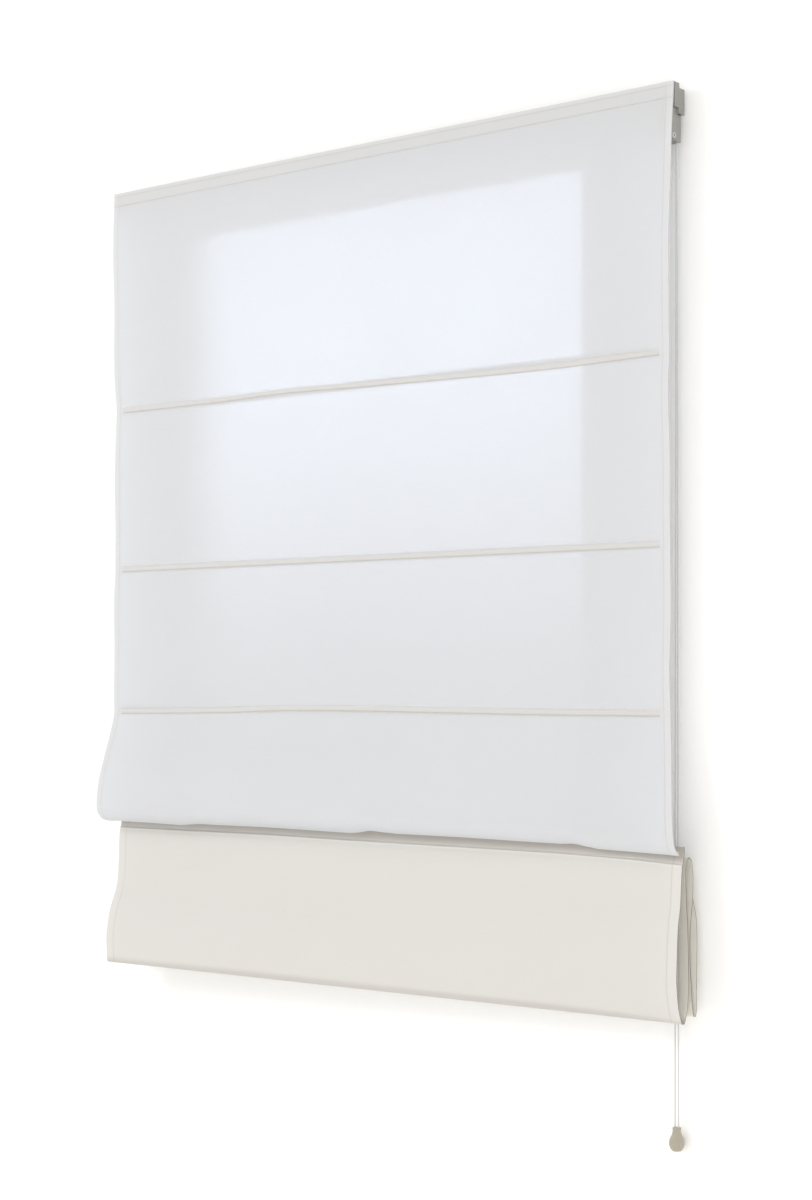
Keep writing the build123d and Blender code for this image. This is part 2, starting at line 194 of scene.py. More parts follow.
def grid_faces(rows: int, columns: int, start: int = 0, wrap: bool = False) -> np.ndarray:
    """Quads of a grid: each joins a vertex, the one below, the next one there and the next one here.

    Args:
        rows: Vertices down.
        columns: Vertices across.
        start: Number of the grid's first vertex.
        wrap: Whether the last column joins the first.

    Returns:
        Four vertex numbers a row.
    """
    here = np.arange(rows * columns).reshape(rows, columns) + start
    beside = np.roll(here, -1, axis=1)
    if not wrap:
        here, beside = here[:, :-1], beside[:, :-1]
    return np.stack([here[:-1], here[1:], beside[1:], beside[:-1]], axis=-1).reshape(-1, 4)


def shell(name: str, middle: np.ndarray, thickness: np.ndarray, sewing: np.ndarray) -> bpy.types.Object:
    """Closed sheet of cloth: the middle surface moved half its thickness along its normal each way.

    The normal is the cross product of the step down and the step across, so it
    points at the room where the sheet hangs flat.

    Args:
        name: The piece's name.
        middle: Middle surface, rows down by columns across by XYZ.
        thickness: Thickness at each point, rows by columns.
        sewing: Across and down at each point, rows by columns by 2.

    Returns:
        The new object.
    """
    rows, columns = middle.shape[:2]
    normal = np.cross(np.gradient(middle, axis=0), np.gradient(middle, axis=1))
    normal /= np.linalg.norm(normal, axis=-1, keepdims=True)
    half = 0.5 * thickness[..., None]
    count = rows * columns
    front = grid_faces(rows, columns)
    here = np.arange(count).reshape(rows, columns)
    rim = np.concatenate([here[0, :-1], here[:-1, -1], here[-1, :0:-1], here[:0:-1, 0]])
    rim_next = np.roll(rim, -1)
    border = np.stack([rim, rim_next, rim_next + count, rim + count], axis=-1)
    faces = np.concatenate([front, front[:, ::-1] + count, border])
    points = np.concatenate([middle + normal * half, middle - normal * half]).reshape(-1, 3)
    side = np.repeat([0.0, 1.0], count)[:, None]
    own = np.hstack([np.tile(sewing.reshape(-1, 2), (2, 1)), side])
    return put_mesh(name, points, faces.tolist(), own)


def carried_frames(along: np.ndarray) -> tuple[np.ndarray, np.ndarray]:
    """Two directions across a path at each point, carried along it without twist.

    Args:
        along: Unit directions of the path.

    Returns:
        The first directions across and the second ones.
    """
    start = np.eye(3)[np.argmin(np.abs(along[0]))]
    firsts = []
    for direction in along:
        start = start - direction * (start @ direction)
        start = start / np.linalg.norm(start)
        firsts.append(start)
    first = np.array(firsts)
    return first, np.cross(along, first)


def tube(name: str, path: np.ndarray, radius: float, sides: int = 12) -> bpy.types.Object:
    """Round tube with closed ends: a circle across the path at each of its points.

    Args:
        name: The piece's name.
        path: Ring centres, one row each.
        radius: The tube's radius.
        sides: Vertices round the tube.

    Returns:
        The new object; its own coordinates are the turn, from 0 to 1, and the length along it.
    """
    along = np.gradient(path, axis=0)
    along /= np.linalg.norm(along, axis=1, keepdims=True)
    first, second = carried_frames(along)
    turn = np.arange(sides) / sides
    angle = 2 * np.pi * turn[None, :, None]
    rings = path[:, None] + radius * (np.cos(angle) * first[:, None] + np.sin(angle) * second[:, None])
    length = np.concatenate([[0.0], np.cumsum(np.linalg.norm(np.diff(path, axis=0), axis=1))])
    rows = len(path)
    walls = grid_faces(rows, sides, wrap=True)[:, ::-1]
    start_cap = list(range(sides))[::-1]
    end_cap = [(rows - 1) * sides + i for i in range(sides)]
    own = np.zeros((rows * sides, 3))
    own[:, 0] = np.tile(turn, rows)
    own[:, 1] = np.repeat(length, sides)
    return put_mesh(name, rings.reshape(-1, 3), walls.tolist() + [start_cap, end_cap], own)


def route_points(name: str, controls: list[tuple[float, float, float]], per_span: int = 12) -> np.ndarray:
    """Points along the smooth curve that a cord's chosen points control.

    Args:
        name: Name of the curve while it exists.
        controls: Control points, in metres.
        per_span: Points between two controls.

    Returns:
        The curve's points, one row each.
    """
    curve = bpy.data.curves.new(name, "CURVE")
    curve.dimensions = "3D"
    curve.resolution_u = per_span
    spline = curve.splines.new("NURBS")
    spline.points.add(len(controls) - 1)
    spline.points.foreach_set("co", [value for point in controls for value in (*point, 1.0)])
    spline.order_u = 3
    spline.use_endpoint_u = True
    holder = bpy.data.objects.new(name, curve)
    bpy.context.scene.collection.objects.link(holder)
    bpy.context.view_layer.update()
    mesh = bpy.data.meshes.new_from_object(holder)
    points = np.array([tuple(vertex.co) for vertex in mesh.vertices])
    bpy.data.objects.remove(holder)
    bpy.data.curves.remove(curve)
    bpy.data.meshes.remove(mesh)
    return points


class Recipe:
    """One node material while it is being put together."""

    def __init__(self, name: str) -> None:
        """Start an empty material.

        Args:
            name: The material's name.
        """
        self.material = bpy.data.materials.new(name)
        self.material.use_nodes = True
        self.nodes = self.material.node_tree.nodes
        self.links = self.material.node_tree.links
        self.nodes.clear()

    def node(self, kind: str, **settings: object) -> bpy.types.Node:
        """Add a node with some of its own settings."""
        made = self.nodes.new(kind)
        for key, value in settings.items():
            setattr(made, key, value)
        return made

    def feed(self, socket: bpy.types.NodeSocket, value: object) -> None:
        """Put a number, a colour or another node's output into a socket."""
        if isinstance(value, bpy.types.NodeSocket):
            self.links.new(value, socket)
        else:
            socket.default_value = value

    def math(
        self, operation: str, first: object, second: object = 0.0, third: object = 0.0
    ) -> bpy.types.NodeSocket:
        """Add a Math node.

        Args:
            operation: Blender's name for the operation.
            first: First operand, a number or a socket.
            second: Second operand, where the operation has one.
            third: Third operand, where the operation has one.

        Returns:
            The result's socket.
        """
        made = self.node("ShaderNodeMath", operation=operation)
        for socket, value in zip(made.inputs, (first, second, third)):
            self.feed(socket, value)
        return made.outputs[0]

    def own(self) -> tuple[bpy.types.NodeSocket, bpy.types.NodeSocket]:
        """Sockets of the piece's own two coordinates."""
        read = self.node("ShaderNodeAttribute", attribute_name=SEWING)
        parts = self.node("ShaderNodeSeparateXYZ")
        self.links.new(read.outputs["Vector"], parts.inputs[0])
        return parts.outputs[0], parts.outputs[1]

    def own_three(self) -> tuple[bpy.types.NodeSocket, bpy.types.NodeSocket, bpy.types.NodeSocket]:
        """Sockets of the piece's three own coordinates; the third runs through the sheet, from 0 to 1."""
        parts = self.node("ShaderNodeSeparateXYZ")
        self.links.new(self.own_vector(), parts.inputs[0])
        return parts.outputs[0], parts.outputs[1], parts.outputs[2]

    def own_vector(self) -> bpy.types.NodeSocket:
        """Socket of the piece's own coordinates as a vector."""
        return self.node("ShaderNodeAttribute", attribute_name=SEWING).outputs["Vector"]

    def place(self, vector: object, scale: tuple[float, float, float]) -> bpy.types.NodeSocket:
        """Stretch a vector by a scale on each axis."""
        made = self.node("ShaderNodeMapping")
        self.links.new(vector, made.inputs["Vector"])
        made.inputs["Scale"].default_value = scale
        return made.outputs[0]

    def object_vector(self) -> bpy.types.NodeSocket:
        """Socket of the Object coordinates."""
        return self.node("ShaderNodeTexCoord").outputs["Object"]

    def noise(self, vector: object, scale: float, detail: float = 3.0) -> bpy.types.NodeSocket:
        """Add a noise texture and return its factor, about 0.5 on average."""
        made = self.node("ShaderNodeTexNoise")
        self.links.new(vector, made.inputs["Vector"])
        made.inputs["Scale"].default_value = scale
        made.inputs["Detail"].default_value = detail
        return made.outputs["Fac"]

    def line(self, value: object, centre: float, half: float, soft: float) -> bpy.types.NodeSocket:
        """Mask of a band: 1 within half of the centre, falling to 0 over a soft edge.

        Args:
            value: Coordinate that the band lies across.
            centre: Middle of the band.
            half: Half of its width.
            soft: Width of each edge.

        Returns:
            The mask's socket.
        """
        apart = self.math("ABSOLUTE", self.math("SUBTRACT", value, centre))
        made = self.node("ShaderNodeMapRange", interpolation_type="SMOOTHSTEP")
        self.feed(made.inputs["Value"], apart)
        made.inputs["From Min"].default_value = half + 0.5 * soft
        made.inputs["From Max"].default_value = half - 0.5 * soft
        return made.outputs[0]

    def most(self, *masks: object) -> bpy.types.NodeSocket:
        """The largest of several masks at each point."""
        result = masks[0]
        for mask in masks[1:]:
            result = self.math("MAXIMUM", result, mask)
        return result

    def mix(self, first: object, share: float, second: object, other: float) -> bpy.types.NodeSocket:
        """Add two values, each times its own share."""
        return self.math("ADD", self.math("MULTIPLY", first, share), self.math("MULTIPLY", second, other))

    def blend_colour(self, factor: object, first: object, second: object) -> bpy.types.NodeSocket:
        """Mix two colours by a factor."""
        made = self.node("ShaderNodeMix", data_type="RGBA")
        self.feed(made.inputs["Factor"], factor)
        self.feed(made.inputs[6], first)
        self.feed(made.inputs[7], second)
        return made.outputs[2]

    def between(self, value: bpy.types.NodeSocket, low: float, high: float) -> bpy.types.NodeSocket:
        """Carry a value of 0 to 1 to a range."""
        return self.math("MULTIPLY_ADD", value, high - low, low)

    def bump(self, height: object, distance: float, strength: float = 1.0) -> bpy.types.NodeSocket:
        """Turn a height of 0 to 1 into a normal."""
        made = self.node("ShaderNodeBump")
        made.inputs["Strength"].default_value = strength
        made.inputs["Distance"].default_value = distance
        self.links.new(height, made.inputs["Height"])
        return made.outputs[0]

    def close(self, shader: bpy.types.Node) -> bpy.types.Material:
        """Connect the last shader and hand the material over."""
        output = self.node("ShaderNodeOutputMaterial")
        self.links.new(shader.outputs[0], output.inputs["Surface"])
        return self.material


@dataclass(frozen=True)
class ClothMasks:
    """Where each kind of detail lies on a cloth: 1 on it, 0 off it."""

    side: object
    hems: object
    strips: object
    strip_under_shade: object
    highlit_crests: object
    shaded_folds: object
    grooves: object
    threads: object
    lip_shadow: object


@dataclass(frozen=True)
class ClothFinish:
    """Plain-woven cloth that lets light through, with hems, sewn strips, stitches and painted light and
    shade.

    Its pattern is in sewing coordinates: threads run across and down, hems lie
    along both sides, and each strip is a rod pocket seen from the front.
    """

    name: str
    colour: Colour = (0.832, 0.828, 0.822)
    shade: Colour = (0.792, 0.788, 0.782)
    glow: Colour = (0.86, 0.90, 0.98)
    # Colour of the cut edge: painted shade, a dark line for the shadow in the gaps at the sheet's edges.
    rim: Colour = (0.62, 0.60, 0.56)
    # Colour behind the front fold: painted shade and painted warm light bounced between the layers.
    painted_back_light: Colour = (0.80, 0.765, 0.69)
    through: float = 0.34
    width: float = 1.0
    side_hem: float = 0.011
    stitch_inset: float = 0.0016
    strips: tuple[float, ...] = ()
    strip_half: float = 0.0037
    strip_inset: float = 0.015
    under_drop: float = 0.0028
    ridge_gap: float = 0.0013
    stitch_gap: float = 0.0012
    seams: tuple[float, ...] = ()
    hems: tuple[tuple[float, float], ...] = ()
    # Places down the cloth of painted highlight lines, of painted shade along folds and of the lower edge
    # of the painted shadow under the lip.
    highlit_crests: tuple[float, ...] = ()
    shaded_folds: tuple[float, ...] = ()
    lip_shadow: float = -1.0
    lip_shadow_height: float = 0.010
    painted_back_light_from: float = 9.0
    thread_pitch: float = 0.00062
    stitch_pitch: float = 0.0034

    def beside_strips(self, gap: float) -> list[float]:
        """Lines at a gap above and below each strip."""
        return [at + sign * (self.strip_half + gap) for at in self.strips for sign in (-1, 1)]

    def beside_hems(self) -> tuple[float, float]:
        """Lines of stitches that hold the two side hems."""
        inset = self.side_hem - self.stitch_inset
        return inset, self.width - inset

    def threads(self, recipe: Recipe, across: object, down: object) -> bpy.types.NodeSocket:
        """Height of the weave: the product of two rows of threads, each a sine of its coordinate."""
        turns = 2.0 * math.pi / self.thread_pitch
        warp = recipe.math("SINE", recipe.math("MULTIPLY", across, turns))
        weft = recipe.math("SINE", recipe.math("MULTIPLY", down, turns))
        return recipe.between(recipe.math("MULTIPLY", warp, weft), 0.5, 1.0)

    def stitch_row(self, recipe: Recipe, along: object, beside: object, at: float) -> bpy.types.NodeSocket:
        """Mask of a row of stitches: short dashes on a line.

        Args:
            recipe: The material.
            along: Coordinate that the row runs along.
            beside: Coordinate that the row lies at.
            at: Where it lies.

        Returns:
            1 on the thread, 0 off it.
        """
        step = recipe.math("FRACT", recipe.math("DIVIDE", along, self.stitch_pitch))
        dash = recipe.line(step, 0.5, 0.34, 0.12)
        return recipe.math("MULTIPLY", dash, recipe.line(beside, at, 0.0003, 0.0002))

    def rows_of_thread(self, recipe: Recipe, across: object, down: object) -> bpy.types.NodeSocket:
        """Mask of all stitches: along seams, above and below each strip, and along both side hems."""
        places = (*self.seams, *self.beside_strips(self.stitch_gap))
        level = [self.stitch_row(recipe, across, down, at) for at in places]
        upright = [self.stitch_row(recipe, down, across, at) for at in self.beside_hems()]
        return recipe.most(*level, *upright)

    def needle_grooves(self, recipe: Recipe, across: object, down: object) -> bpy.types.NodeSocket:
        """Mask of the dents that stitching leaves in the cloth."""
        level = [recipe.line(down, at, 0.0005, 0.0008) for at in self.seams]
        upright = [recipe.line(across, at, 0.0005, 0.0008) for at in self.beside_hems()]
        return recipe.most(*level, *upright)

    def painted_lip_shadow(self, recipe: Recipe, down: object) -> bpy.types.NodeSocket:
        """Mask of the painted shadow under the lip, on the top of a panel, which fades over a short height
        above its seam.

        Args:
            recipe: The material.
            down: Coordinate along the hanging length.

        Returns:
            1 well above the seam, 0 below it.
        """
        fade = recipe.node("ShaderNodeMapRange")
        recipe.feed(fade.inputs["Value"], down)
        fade.inputs["From Min"].default_value = self.lip_shadow
        fade.inputs["From Max"].default_value = self.lip_shadow - self.lip_shadow_height
        fade.inputs["To Min"].default_value = 0.3
        return recipe.math("MULTIPLY", fade.outputs[0], recipe.math("LESS_THAN", down, self.lip_shadow))

    def masks(self, recipe: Recipe, across: object, down: object) -> ClothMasks:
        """Find where each detail lies.

        Args:
            recipe: The material.
            across: Coordinate from the left hem to the right one.
            down: Coordinate along the hanging length.

        Returns:
            One mask for each kind of detail.
        """

        def bands(places: Sequence[float], half: float, soft: float) -> object:
            """Mask of level bands at some places, or 0 where there are none."""
            return recipe.most(*[recipe.line(down, at, half, soft) for at in places], 0.0)

        middle = 0.5 * self.width
        side = recipe.math("SUBTRACT", 1.0, recipe.line(across, middle, middle - self.side_hem, 0.0008))
        cover = recipe.line(across, middle, middle - self.strip_inset, 0.002)
        strips = bands(self.strips, self.strip_half, 0.0008)
        # Painted shade: a line just under each strip, as under a round rod.
        strip_under_shade = bands([at + self.under_drop for at in self.strips], 0.0007, 0.0012)
        # Painted highlights: lines just above and below each strip.
        ridge_highlights = bands(self.beside_strips(self.ridge_gap), 0.0005, 0.0009)
        strips, strip_under_shade, ridge_highlights = (recipe.math("MULTIPLY", mask, cover) for mask in (strips, strip_under_shade, ridge_highlights))
        level_hems = [recipe.line(down, 0.5 * (a + b), 0.5 * (b - a), 0.0008) for a, b in self.hems]
        return ClothMasks(
            side=side,
            hems=recipe.most(*level_hems, side),
            strips=strips,
            strip_under_shade=strip_under_shade,
            highlit_crests=recipe.most(ridge_highlights, *[recipe.line(down, at, 0.0007, 0.0008) for at in self.highlit_crests]),
            # Painted shade along each fold, a little above its lowest line.
            shaded_folds=bands([at - 0.003 for at in self.shaded_folds], 0.006, 0.010),
            grooves=self.needle_grooves(recipe, across, down),
            threads=self.rows_of_thread(recipe, across, down),
            lip_shadow=self.painted_lip_shadow(recipe, down),
        )

    def tint(self, recipe: Recipe, colour: object, mask: object, strength: float) -> bpy.types.NodeSocket:
        """Brighten or darken a colour where a mask is 1.

        Args:
            recipe: The material.
            colour: Colour so far.
            mask: Where to change it.
            strength: Factor on its lightness; a dark tint is a little warmer too.

        Returns:
            The new colour's socket.
        """
        grey = recipe.node("ShaderNodeMix", data_type="RGBA", blend_type="MULTIPLY")
        recipe.feed(grey.inputs["Factor"], mask)
        recipe.feed(grey.inputs[6], colour)
        warmth = 1.0 - 0.12 * max(0.0, 1.0 - strength)
        recipe.feed(grey.inputs[7], (strength, strength * warmth, strength * warmth * warmth, 1.0))
        return grey.outputs[2]

    def colour_with_painted_light(self, recipe: Recipe, down: object, uneven: object, masks: ClothMasks) -> bpy.types.NodeSocket:
        """Colour of the cloth with its hems, strips and threads, and with its painted shade and highlights.

        Args:
            recipe: The material.
            down: Coordinate along the hanging length.
            uneven: Unevenness of the yarn, from 0 to 1.
            masks: Where each detail lies.

        Returns:
            The colour's socket.
        """
        colour = recipe.blend_colour(uneven, (*self.shade, 1.0), (*self.colour, 1.0))
        # Behind the front fold the colour turns to painted shade and painted warm light.
        behind_front_fold = recipe.math("GREATER_THAN", down, self.painted_back_light_from)
        colour = recipe.blend_colour(behind_front_fold, colour, (*self.painted_back_light, 1.0))
        # Painted shade in the needle grooves, at half strength.
        painted_groove_shade = recipe.math("MULTIPLY", masks.grooves, 0.5)
        tints = (
            # Painted shade: the hems a little darker, the top one standing in front of the rail, where no
            # light comes through.
            (masks.hems, 0.955),
            (masks.side, 1.03),
            # Painted shadow of the rod behind each strip.
            (masks.strips, 0.85),
            # Painted shade under each strip.
            (masks.strip_under_shade, 0.80),
            # Painted highlights on the ridges and crests.
            (masks.highlit_crests, 1.10),
            # Painted shade along the bottom fold.
            (masks.shaded_folds, 0.84),
            (painted_groove_shade, 0.75),
            (masks.threads, 1.06),
            # Painted shadow under the lip.
            (masks.lip_shadow, 0.66),
        )
        for mask, strength in tints:
            colour = self.tint(recipe, colour, mask, strength)
        return colour

    def front(self, recipe: Recipe, colour: object, uneven: object, normal: object) -> bpy.types.Node:
        """Shader of the light that the cloth sends back.

        Args:
            recipe: The material.
            colour: The cloth's colour.
            uneven: Unevenness of the yarn, from 0 to 1.
            normal: Normal of the weave.

        Returns:
            The shader's node.
        """
        shader = recipe.node("ShaderNodeBsdfPrincipled")
        recipe.feed(shader.inputs["Base Color"], colour)
        recipe.feed(shader.inputs["Roughness"], recipe.between(uneven, 0.82, 0.95))
        shader.inputs["Specular IOR Level"].default_value = 0.2
        shader.inputs["Sheen Weight"].default_value = 0.12
        shader.inputs["Sheen Roughness"].default_value = 0.5
        recipe.feed(shader.inputs["Normal"], normal)
        return shader

    def build(self) -> bpy.types.Material:
        """Make the material: light sent back, mixed with the light that comes through.

        Returns:
            The material.
        """
        recipe = Recipe(self.name)
        across, down, through = recipe.own_three()
        plain = recipe.own_vector()
        masks = self.masks(recipe, across, down)
        weave = self.threads(recipe, across, down)
        slub_down = recipe.noise(recipe.place(plain, (900.0, 14.0, 1.0)), 1.0, 2.0)
        slub_across = recipe.noise(recipe.place(plain, (14.0, 900.0, 1.0)), 1.0, 2.0)
        cloud = recipe.noise(plain, 5.0, 3.0)
        slubs = recipe.math("MULTIPLY", recipe.math("ADD", slub_down, slub_across), 0.5)
        uneven = recipe.mix(slubs, 0.55, cloud, 0.45)
        # The cut edge, between the two faces in the third own coordinate, gets the rim colour: painted
        # shade.
        rim_shade_bounds = (recipe.math("GREATER_THAN", through, 0.02), recipe.math("LESS_THAN", through, 0.98))
        colour = self.colour_with_painted_light(recipe, down, uneven, masks)
        colour = recipe.blend_colour(recipe.math("MULTIPLY", *rim_shade_bounds), colour, (*self.rim, 1.0))
        relief = recipe.mix(weave, 0.10, slubs, 0.16)
        relief = recipe.math("ADD", relief, recipe.math("MULTIPLY", masks.threads, 0.5))
        relief = recipe.math("SUBTRACT", relief, recipe.math("MULTIPLY", masks.grooves, 0.4))
        normal = recipe.bump(relief, 0.0006, 0.8)
        back = recipe.node("ShaderNodeBsdfTranslucent")
        pale = tuple(0.96 * part for part in self.glow)
        recipe.feed(back.inputs["Color"], recipe.blend_colour(uneven, (*pale, 1.0), (*self.glow, 1.0)))
        recipe.feed(back.inputs["Normal"], normal)
        # Less light comes through the strips, the hems and the band of painted shadow under the lip.
        hems_and_lip_shadow = (recipe.math("MULTIPLY", masks.hems, 0.3), recipe.math("MULTIPLY", masks.lip_shadow, 0.8))
        block = recipe.math("MULTIPLY", recipe.most(masks.strips, *hems_and_lip_shadow), 0.7)
        clear = recipe.math("MULTIPLY", recipe.math("SUBTRACT", 1.0, block), self.through)
        mixed = recipe.node("ShaderNodeMixShader")
        recipe.feed(mixed.inputs[0], clear)
        recipe.links.new(self.front(recipe, colour, uneven, normal).outputs[0], mixed.inputs[1])
        recipe.links.new(back.outputs[0], mixed.inputs[2])
        return recipe.close(mixed)


@dataclass(frozen=True)
class SolidFinish:
    """Plastic or metal with one kind of grain."""

    name: str
    colour: Colour
    worn: Colour
    roughness: tuple[float, float]
    grain: Grain
    metallic: float = 0.0
    coat: float = 0.0
    depth: float = 0.00008

    def height(self, recipe: Recipe, vector: bpy.types.NodeSocket) -> bpy.types.NodeSocket:
        """Height of the grain on Object coordinates.

        Args:
            recipe: The material.
            vector: Object coordinates.

        Returns:
            The height's socket, about 0.5 on average.
        """
        if self.grain is Grain.DRAWN:
            return recipe.noise(recipe.place(vector, (3.0, 2600.0, 2600.0)), 1.0, 4.0)
        if self.grain is Grain.TURNED:
            return recipe.noise(recipe.place(vector, (30.0, 30.0, 3200.0)), 1.0, 3.0)
        if self.grain is Grain.SPRAYED:
            return recipe.noise(vector, 900.0, 2.0)
        return recipe.noise(vector, 2600.0, 4.0)

    def build(self) -> bpy.types.Material:
        """Make the material.

        Returns:
            The material.
        """
        recipe = Recipe(self.name)
        vector = recipe.object_vector()
        height = self.height(recipe, vector)
        patches = recipe.noise(vector, 60.0, 4.0)
        mixed = recipe.mix(height, 0.5, patches, 0.5)
        shader = recipe.node("ShaderNodeBsdfPrincipled")
        colour = recipe.blend_colour(mixed, (*self.worn, 1.0), (*self.colour, 1.0))
        recipe.feed(shader.inputs["Base Color"], colour)
        recipe.feed(shader.inputs["Roughness"], recipe.between(mixed, *self.roughness))
        shader.inputs["Metallic"].default_value = self.metallic
        shader.inputs["Coat Weight"].default_value = self.coat
        recipe.feed(shader.inputs["Normal"], recipe.bump(height, self.depth))
        return recipe.close(shader)


@dataclass(frozen=True)
class CordFinish:
    """Braided cord: strands that wind both ways round it."""

    name: str
    colour: Colour = (0.82, 0.82, 0.80)
    # Colour between the strands: painted shade in the braid's grooves.
    groove: Colour = (0.46, 0.455, 0.43)
    lay: float = 0.0042
    strands: int = 4

    def build(self) -> bpy.types.Material:
        """Make the material: the product of two sine waves on turn and length, one for each hand of strand.

        Returns:
            The material.
        """
        recipe = Recipe(self.name)
        turn, length = recipe.own()
        waves = []
        for hand in (-1.0, 1.0):
            phase = recipe.math(
                "MULTIPLY_ADD", turn, 2.0 * math.pi * self.strands,
                recipe.math("MULTIPLY", length, hand * 2.0 * math.pi * self.strands / self.lay),
            )
            waves.append(recipe.math("SINE", phase))
        braid = recipe.between(recipe.math("MULTIPLY", *waves), 0.5, 1.0)
        fluff = recipe.noise(recipe.place(recipe.own_vector(), (8.0, 700.0, 1.0)), 1.0, 4.0)
        mixed = recipe.mix(braid, 0.7, fluff, 0.3)
        shader = recipe.node("ShaderNodeBsdfPrincipled")
        colour = recipe.blend_colour(mixed, (*self.groove, 1.0), (*self.colour, 1.0))
        recipe.feed(shader.inputs["Base Color"], colour)
        recipe.feed(shader.inputs["Roughness"], recipe.between(fluff, 0.7, 0.9))
        shader.inputs["Sheen Weight"].default_value = 0.2
        recipe.feed(shader.inputs["Normal"], recipe.bump(mixed, 0.00018))
        return recipe.close(shader)


@dataclass(frozen=True)
class TapeFinish:
    """Hook or loop tape: a close pile between two woven edges, on Object coordinates."""

    name: str
    colour: Colour = (0.86, 0.86, 0.84)
    pile: Colour = (0.74, 0.74, 0.72)
    density: float = 1400.0

    def build(self) -> bpy.types.Material:
        """Make the material.

        Returns:
            The material.
        """
        recipe = Recipe(self.name)
        vector = recipe.object_vector()
        spots = recipe.node("ShaderNodeTexVoronoi")
        recipe.links.new(vector, spots.inputs["Vector"])
        spots.inputs["Scale"].default_value = self.density
        ribs = recipe.noise(recipe.place(vector, (20.0, 20.0, 1500.0)), 1.0, 2.0)
        mixed = recipe.math("MULTIPLY", spots.outputs["Distance"], ribs)
        shader = recipe.node("ShaderNodeBsdfPrincipled")
        colour = recipe.blend_colour(mixed, (*self.colour, 1.0), (*self.pile, 1.0))
        recipe.feed(shader.inputs["Base Color"], colour)
        recipe.feed(shader.inputs["Roughness"], recipe.between(ribs, 0.8, 0.95))
        recipe.feed(shader.inputs["Normal"], recipe.bump(mixed, 0.0003))
        return recipe.close(shader)


def dress(piece: bpy.types.Object, material: bpy.types.Material) -> None:
    """Give a piece or a shown node one material, in every slot that it has.

    Args:
        piece: The piece or node.
        material: Its material.
    """
    slots = piece.material_slots
    if not slots:
        piece.data.materials.append(material)
    for place in slots:
        place.link = "OBJECT"
        place.material = material


def follow(piece: bpy.types.Object, body: Body, slot: Slot, *nodes: str) -> None:
    """Let a piece ride on a body.

    Args:
        piece: The piece.
        body: The body that carries it.
        slot: Material slot that it belongs to; not used.
        *nodes: CAD nodes that it stands for.
    """
    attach(piece, body.value)
    if nodes:
        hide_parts(*nodes)
    log.info("%s: %d vertices on %s", piece.name, len(piece.data.vertices), body.value)


Corner = tuple[float, float, float]
"""Reach towards the room, drop below the top edge and shift along the blind, in millimetres."""


@dataclass
class Section:
    """Cross-section of a sheet of cloth at its left and at its right edge, with as many corners at both."""

    left: list[Corner]
    right: list[Corner]

    def stations(self) -> np.ndarray:
        """Mean length of cloth from the first corner to each of them."""
        sides = (np.array(self.left), np.array(self.right))
        steps = [np.linalg.norm(np.diff(side[:, :2], axis=0), axis=1) for side in sides]
        return np.concatenate([[0.0], np.cumsum(0.5 * (steps[0] + steps[1]))])

    def surface(self, where: np.ndarray, share: np.ndarray) -> np.ndarray:
        """Carry the section across: each edge's smooth curve, mixed by the share of the way across.

        Args:
            where: Lengths of cloth down the section.
            share: From 0 at the left edge to 1 at the right one.

        Returns:
            Reach, drop and shift, rows by columns by 3.
        """
        stations = self.stations()
        left, right = (curve_through(stations, np.array(side), where) for side in (self.left, self.right))
        return left[:, None] * (1.0 - share[None, :, None]) + right[:, None] * share[None, :, None]


def round_rod(
    centre: tuple[float, float],
    radius: float,
    turn: tuple[float, float],
    count: int,
    shift: tuple[float, float] = (0.0, 0.0),
    stretch: float = 1.0,
) -> list[Corner]:
    """Corners round a rod: the circle's cosine and sine from one angle to another.

    Args:
        centre: Rod's reach and drop.
        radius: Radius of the fold.
        turn: First and last angle in degrees, 0 towards the room and 90 up.
        count: Number of corners.
        shift: Shift along the blind at the first and at the last.
        stretch: How much taller the fold is than round, for a loose one.

    Returns:
        The corners.
    """
    angles = np.radians(np.linspace(*turn, count))
    shifts = np.linspace(*shift, count)
    return [
        (centre[0] + radius * math.cos(a), centre[1] - stretch * radius * math.sin(a), along)
        for a, along in zip(angles, shifts)
    ]


@dataclass
class Hanging:
    """Sizes that the cloth pieces share, in millimetres."""

    width: float = 1000.0
    plane: float = 30.0
    top: float = 54.0
    rods: tuple[float, float, float] = (336.0, 577.0, 789.0)
    gather: float = 975.0
    shift: float = 18.0
    lift: float = 800.0
    lip_clearance: float = 5.5
    sheet: float = 0.55
    hem: float = 1.5
    side_hem: float = 13.0

    def keep(self) -> float:
        """Share of its height that the hanging cloth has left when the gathered part is at the top."""
        return 1.0 - (self.lift + self.lip_clearance) / self.gather

    def columns(self) -> np.ndarray:
        """Positions across, closer together at the side hems, in millimetres."""
        edge = [(0.0, 3.0, 1.0), (3.0, 16.0, 1.3), (16.0, 40.0, 4.0)]
        other = [(self.width - b, self.width - a, step) for a, b, step in reversed(edge)]
        return spread(*edge, (40.0, self.width - 40.0, 8.0), *other) / MM

    def place(self, x: np.ndarray, reach: np.ndarray, drop: np.ndarray) -> np.ndarray:
        """Points in the scene from millimetres along the blind, towards the room and below the top edge."""
        return np.stack(np.broadcast_arrays(x, -self.plane - reach, self.top - drop), axis=-1) * MM

    def edge_thickness(self, across: np.ndarray) -> np.ndarray:
        """Extra thickness of the two side hems."""
        inward = np.minimum(across, self.width - across)
        return (self.hem - self.sheet) * (1.0 - smoothstep((inward - self.side_hem + 0.8) / 1.2))


